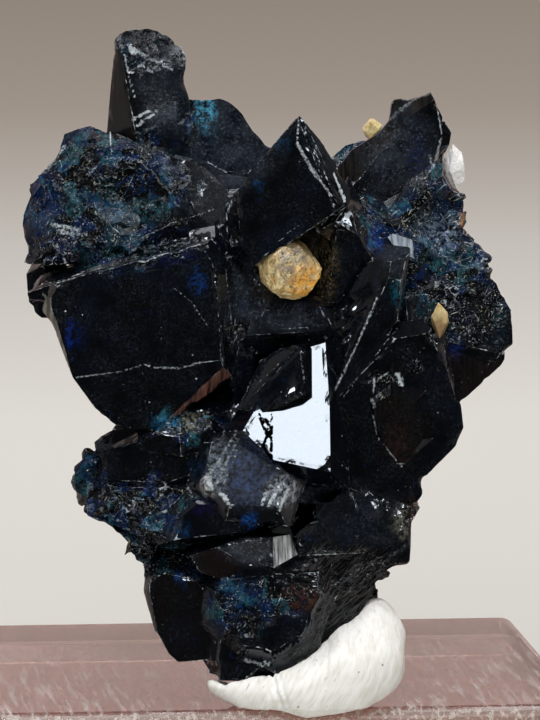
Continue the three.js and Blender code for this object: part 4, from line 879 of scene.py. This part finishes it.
# Painted shadow: the top of the crystal, under the roof of the hollow, is painted dark brown.
roof_shadow = around(drawn(3.0, 44.6, 8.0), 1.9, 0.8, 0.85)
tan = blend((roof_shadow, 0), (tan, 2), "4a2f16")
tan = blend((speckle(0.2, 0.62, 0.7, 3.0, 0.7, 0.9), 0), (tan, 2), "f4ead0")
grain = add(tree, "ShaderNodeTexNoise", Vector=(place, "Object"), Scale=per_mm(0.16), Detail=4, Roughness=0.7)
relief = add(tree, "ShaderNodeBump", Height=(grain, 0), Strength=0.6, Distance=0.06 * MM)
surface = add(tree, "ShaderNodeBsdfPrincipled", Base_Color=(tan, 2), Roughness=0.34, IOR=1.7,
              Normal=(relief, 0))
add(tree, "ShaderNodeOutputMaterial", Surface=(surface, 0))

gold, tree = new_material("golden siderite")
place = add(tree, "ShaderNodeTexCoord")
straw = blend((speckle(0.4, 0.35, 0.65, 4.0, 0.7), 0), "ccaa5c", "fff0b8")
straw = blend((speckle(0.25, 0.6, 0.75, 3.0, 0.7, 0.7), 0), (straw, 2), "f0e2b8")
stain = around(drawn(17.0, 34.6, 5.0), 2.1, 0.4, 0.85)
straw = blend((stain, 0), (straw, 2), "6b4a34")
grain = add(tree, "ShaderNodeTexNoise", Vector=(place, "Object"), Scale=per_mm(0.14), Detail=3)
relief = add(tree, "ShaderNodeBump", Height=(grain, 0), Strength=0.3, Distance=0.03 * MM)
surface = add(tree, "ShaderNodeBsdfPrincipled", Base_Color=(straw, 2), Roughness=0.3, IOR=1.7,
              Normal=(relief, 0))
add(tree, "ShaderNodeOutputMaterial", Surface=(surface, 0))
# Each grain: its node, name and material, the size and depth of its chips in mm, a seed, its scale, and its
# shift in grid squares.
GRAINS = (
    ("siderite_crystal", "siderite_lump", siderite, 0.5, 0.13, 101, (1.05, 1.1, 1.15), (-0.2, -0.1, 0.3)),
    ("siderite_grain_top", "golden_grain_top", gold, 0.4, 0.06, 103, 1.15, (-0.2, 0.05, 0)),
    ("siderite_grain_right", "golden_grain_right", gold, 0.5, 0.04, 105, 1.0, (0, 0, 0)),
)
for node, name, stuff, chips, depth, seed, scale, shift in GRAINS:
    piece = roughened(node, name, SIDERITE_VOXEL, chips, depth, seed, scale, shift)
    piece.data.materials.append(stuff)
    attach(piece, "root")
    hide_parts(node)


# Quartz grain
# A milky white quartz grain caught between the crystals at the right.
quartz = roughened("quartz_grain", "milky_quartz", 0.06 * MM, 0.5, 0.1, 107, 1.12)
milky, tree = new_material("milky quartz")
place = add(tree, "ShaderNodeTexCoord")
cloud = blend((speckle(0.6, 0.4, 0.65, 4.0, 0.65), 0), "fbfbf8", "ffffff")
grain = add(tree, "ShaderNodeTexNoise", Vector=(place, "Object"), Scale=per_mm(0.2), Detail=3)
relief = add(tree, "ShaderNodeBump", Height=(grain, 0), Strength=0.3, Distance=0.04 * MM)
surface = add(tree, "ShaderNodeBsdfPrincipled", Base_Color=(cloud, 2), Roughness=0.3, IOR=1.54,
              Subsurface_Weight=0.3, Subsurface_Radius=(0.3, 0.3, 0.3), Subsurface_Scale=1 * MM,
              Normal=(relief, 0))
add(tree, "ShaderNodeOutputMaterial", Surface=(surface, 0))
quartz.data.materials.append(milky)
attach(quartz, "root")
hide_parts("quartz_grain")


# Floor, light and camera
# A plain pale table top under soft studio light, seen from the front at a low angle; its colour is painted
# lighter behind the stone and darker far back, standing in for the fall of the light.
TABLE_RADIUS = 0.9
TABLE_LEVEL = -0.02 * MM
VIEW_RIGHT, VIEW_UP = 0.2, 32.0
CAMERA_AWAY = 0.6
PHOTO_HEIGHT = 72 * GRID
VIEW_DROP = math.radians(1.2)
KEY_TURN, KEY_RISE = math.radians(14.5) + VIEW_TURN, math.radians(37.7)
KEY_AWAY, KEY_SIZE, KEY_POWER = 0.3, 0.036, 0.085
TOP_SIZE, TOP_HEIGHT, TOP_POWER = 0.3, 0.42, 1.05
FILL_TURN, FILL_RISE = math.radians(-8) + VIEW_TURN, math.radians(62)
FILL_AWAY, FILL_SIZE, FILL_POWER = 0.32, 0.06, 0.42
FRONT_TURN, FRONT_RISE = math.radians(-6) + VIEW_TURN, math.radians(20)
FRONT_AWAY, FRONT_SIZE, FRONT_POWER = 0.42, 0.14, 0.38

bpy.ops.mesh.primitive_circle_add(vertices=96, radius=TABLE_RADIUS, fill_type="NGON",
                                  location=(0, 0, TABLE_LEVEL))
table = bpy.context.object
table.name = "table_top"
bpy.ops.object.transform_apply(location=True, rotation=True, scale=True)
pale, tree = new_material("pale table")
place = add(tree, "ShaderNodeTexCoord")
mottle = add(tree, "ShaderNodeTexNoise", Vector=(place, "Object"), Scale=9, Detail=2)
depth = add(tree, "ShaderNodeSeparateXYZ", Vector=(place, "Object"))
# Painted light: the table is painted lighter from 6 to 20 cm behind the middle, and darker and warmer from 33
# to 47 cm back.
near = add(tree, "ShaderNodeMapRange", Value=(depth, 1), From_Min=0.06, From_Max=0.2)
far = add(tree, "ShaderNodeMapRange", Value=(depth, 1), From_Min=0.33, From_Max=0.47)
tone = blend((mottle, 0), "d0cfc9", "d4d4ce")
tone = blend((near, 0), (tone, 2), "f3f3ee")
tone = blend((far, 0), (tone, 2), "dcd4ca")
surface = add(tree, "ShaderNodeBsdfPrincipled", Base_Color=(tone, 2), Roughness=0.75)
add(tree, "ShaderNodeOutputMaterial", Surface=(surface, 0))
table.data.materials.append(pale)
table.visible_glossy = False

target = drawn(VIEW_RIGHT, VIEW_UP, 0)
view_turn = Matrix.Rotation(VIEW_TURN, 3, "Z") @ Matrix.Rotation(VIEW_DROP - LEAN, 3, "X")
view_way = view_turn @ Vector((0, -1, 0))
bpy.ops.object.camera_add(location=target + view_way * CAMERA_AWAY)
camera = bpy.context.object
camera.rotation_euler = (-view_way).to_track_quat("-Z", "Y").to_euler()
camera.data.sensor_fit = "VERTICAL"
camera.data.sensor_height = 36
camera.data.lens = camera.data.sensor_height * CAMERA_AWAY / PHOTO_HEIGHT
bpy.context.scene.camera = camera


def panel(name, spot, aim, size, power, colour="fdfdff"):
    """A soft square light at a spot, turned to a point."""
    bpy.ops.object.light_add(type="AREA", location=spot)
    lamp = bpy.context.object
    lamp.name = name
    lamp.rotation_euler = (Vector(aim) - Vector(spot)).to_track_quat("-Z", "Y").to_euler()
    lamp.data.size, lamp.data.energy, lamp.data.color = size, power, linear(colour)[:3]
    return lamp


def from_front(turn, rise):
    """The way to a light that stands in front, turned to the right and raised."""
    return Vector((math.sin(turn) * math.cos(rise), -math.cos(turn) * math.cos(rise), math.sin(rise)))


face = drawn(3.2, 26.4, 8)
panel("key_light", face + from_front(KEY_TURN, KEY_RISE) * KEY_AWAY, face, KEY_SIZE, KEY_POWER, "fbfdff")
panel("fill_light", face + from_front(FILL_TURN, FILL_RISE) * FILL_AWAY, face, FILL_SIZE, FILL_POWER)
front_spot = face + from_front(FRONT_TURN, FRONT_RISE) * FRONT_AWAY
front = panel("front_light", front_spot, face, FRONT_SIZE, FRONT_POWER)
front.visible_glossy = False
panel("top_light", (0.02, 0.05, TOP_HEIGHT), (0, 0.02, 0), TOP_SIZE, TOP_POWER)

room = bpy.data.worlds.new("room")
room.use_nodes = True
tree = room.node_tree
tree.nodes.clear()
way = add(tree, "ShaderNodeTexCoord")
parts = add(tree, "ShaderNodeSeparateXYZ", Vector=(way, "Generated"))
above = add(tree, "ShaderNodeMapRange", Value=(parts, 2), From_Min=0.38, From_Max=0.72)
sideways = maths("ABSOLUTE", (parts, 0), 0.0)
beside = add(tree, "ShaderNodeMapRange", Value=(sideways, 0), From_Min=0.6, From_Max=0.95)
behind = add(tree, "ShaderNodeMapRange", Value=(parts, 1), From_Min=-0.1, From_Max=0.4)
low = blend((beside, 0), "3a3834", "8f8b84")
low = blend((behind, 0), (low, 2), "c8b2ab")
sky = blend((above, 0), (low, 2), "96918a")
light = add(tree, "ShaderNodeBackground", Color=(sky, 2), Strength=0.9)
add(tree, "ShaderNodeOutputWorld", Surface=(light, 0))
bpy.context.scene.world = room
bpy.context.scene.view_settings.view_transform = "Standard"
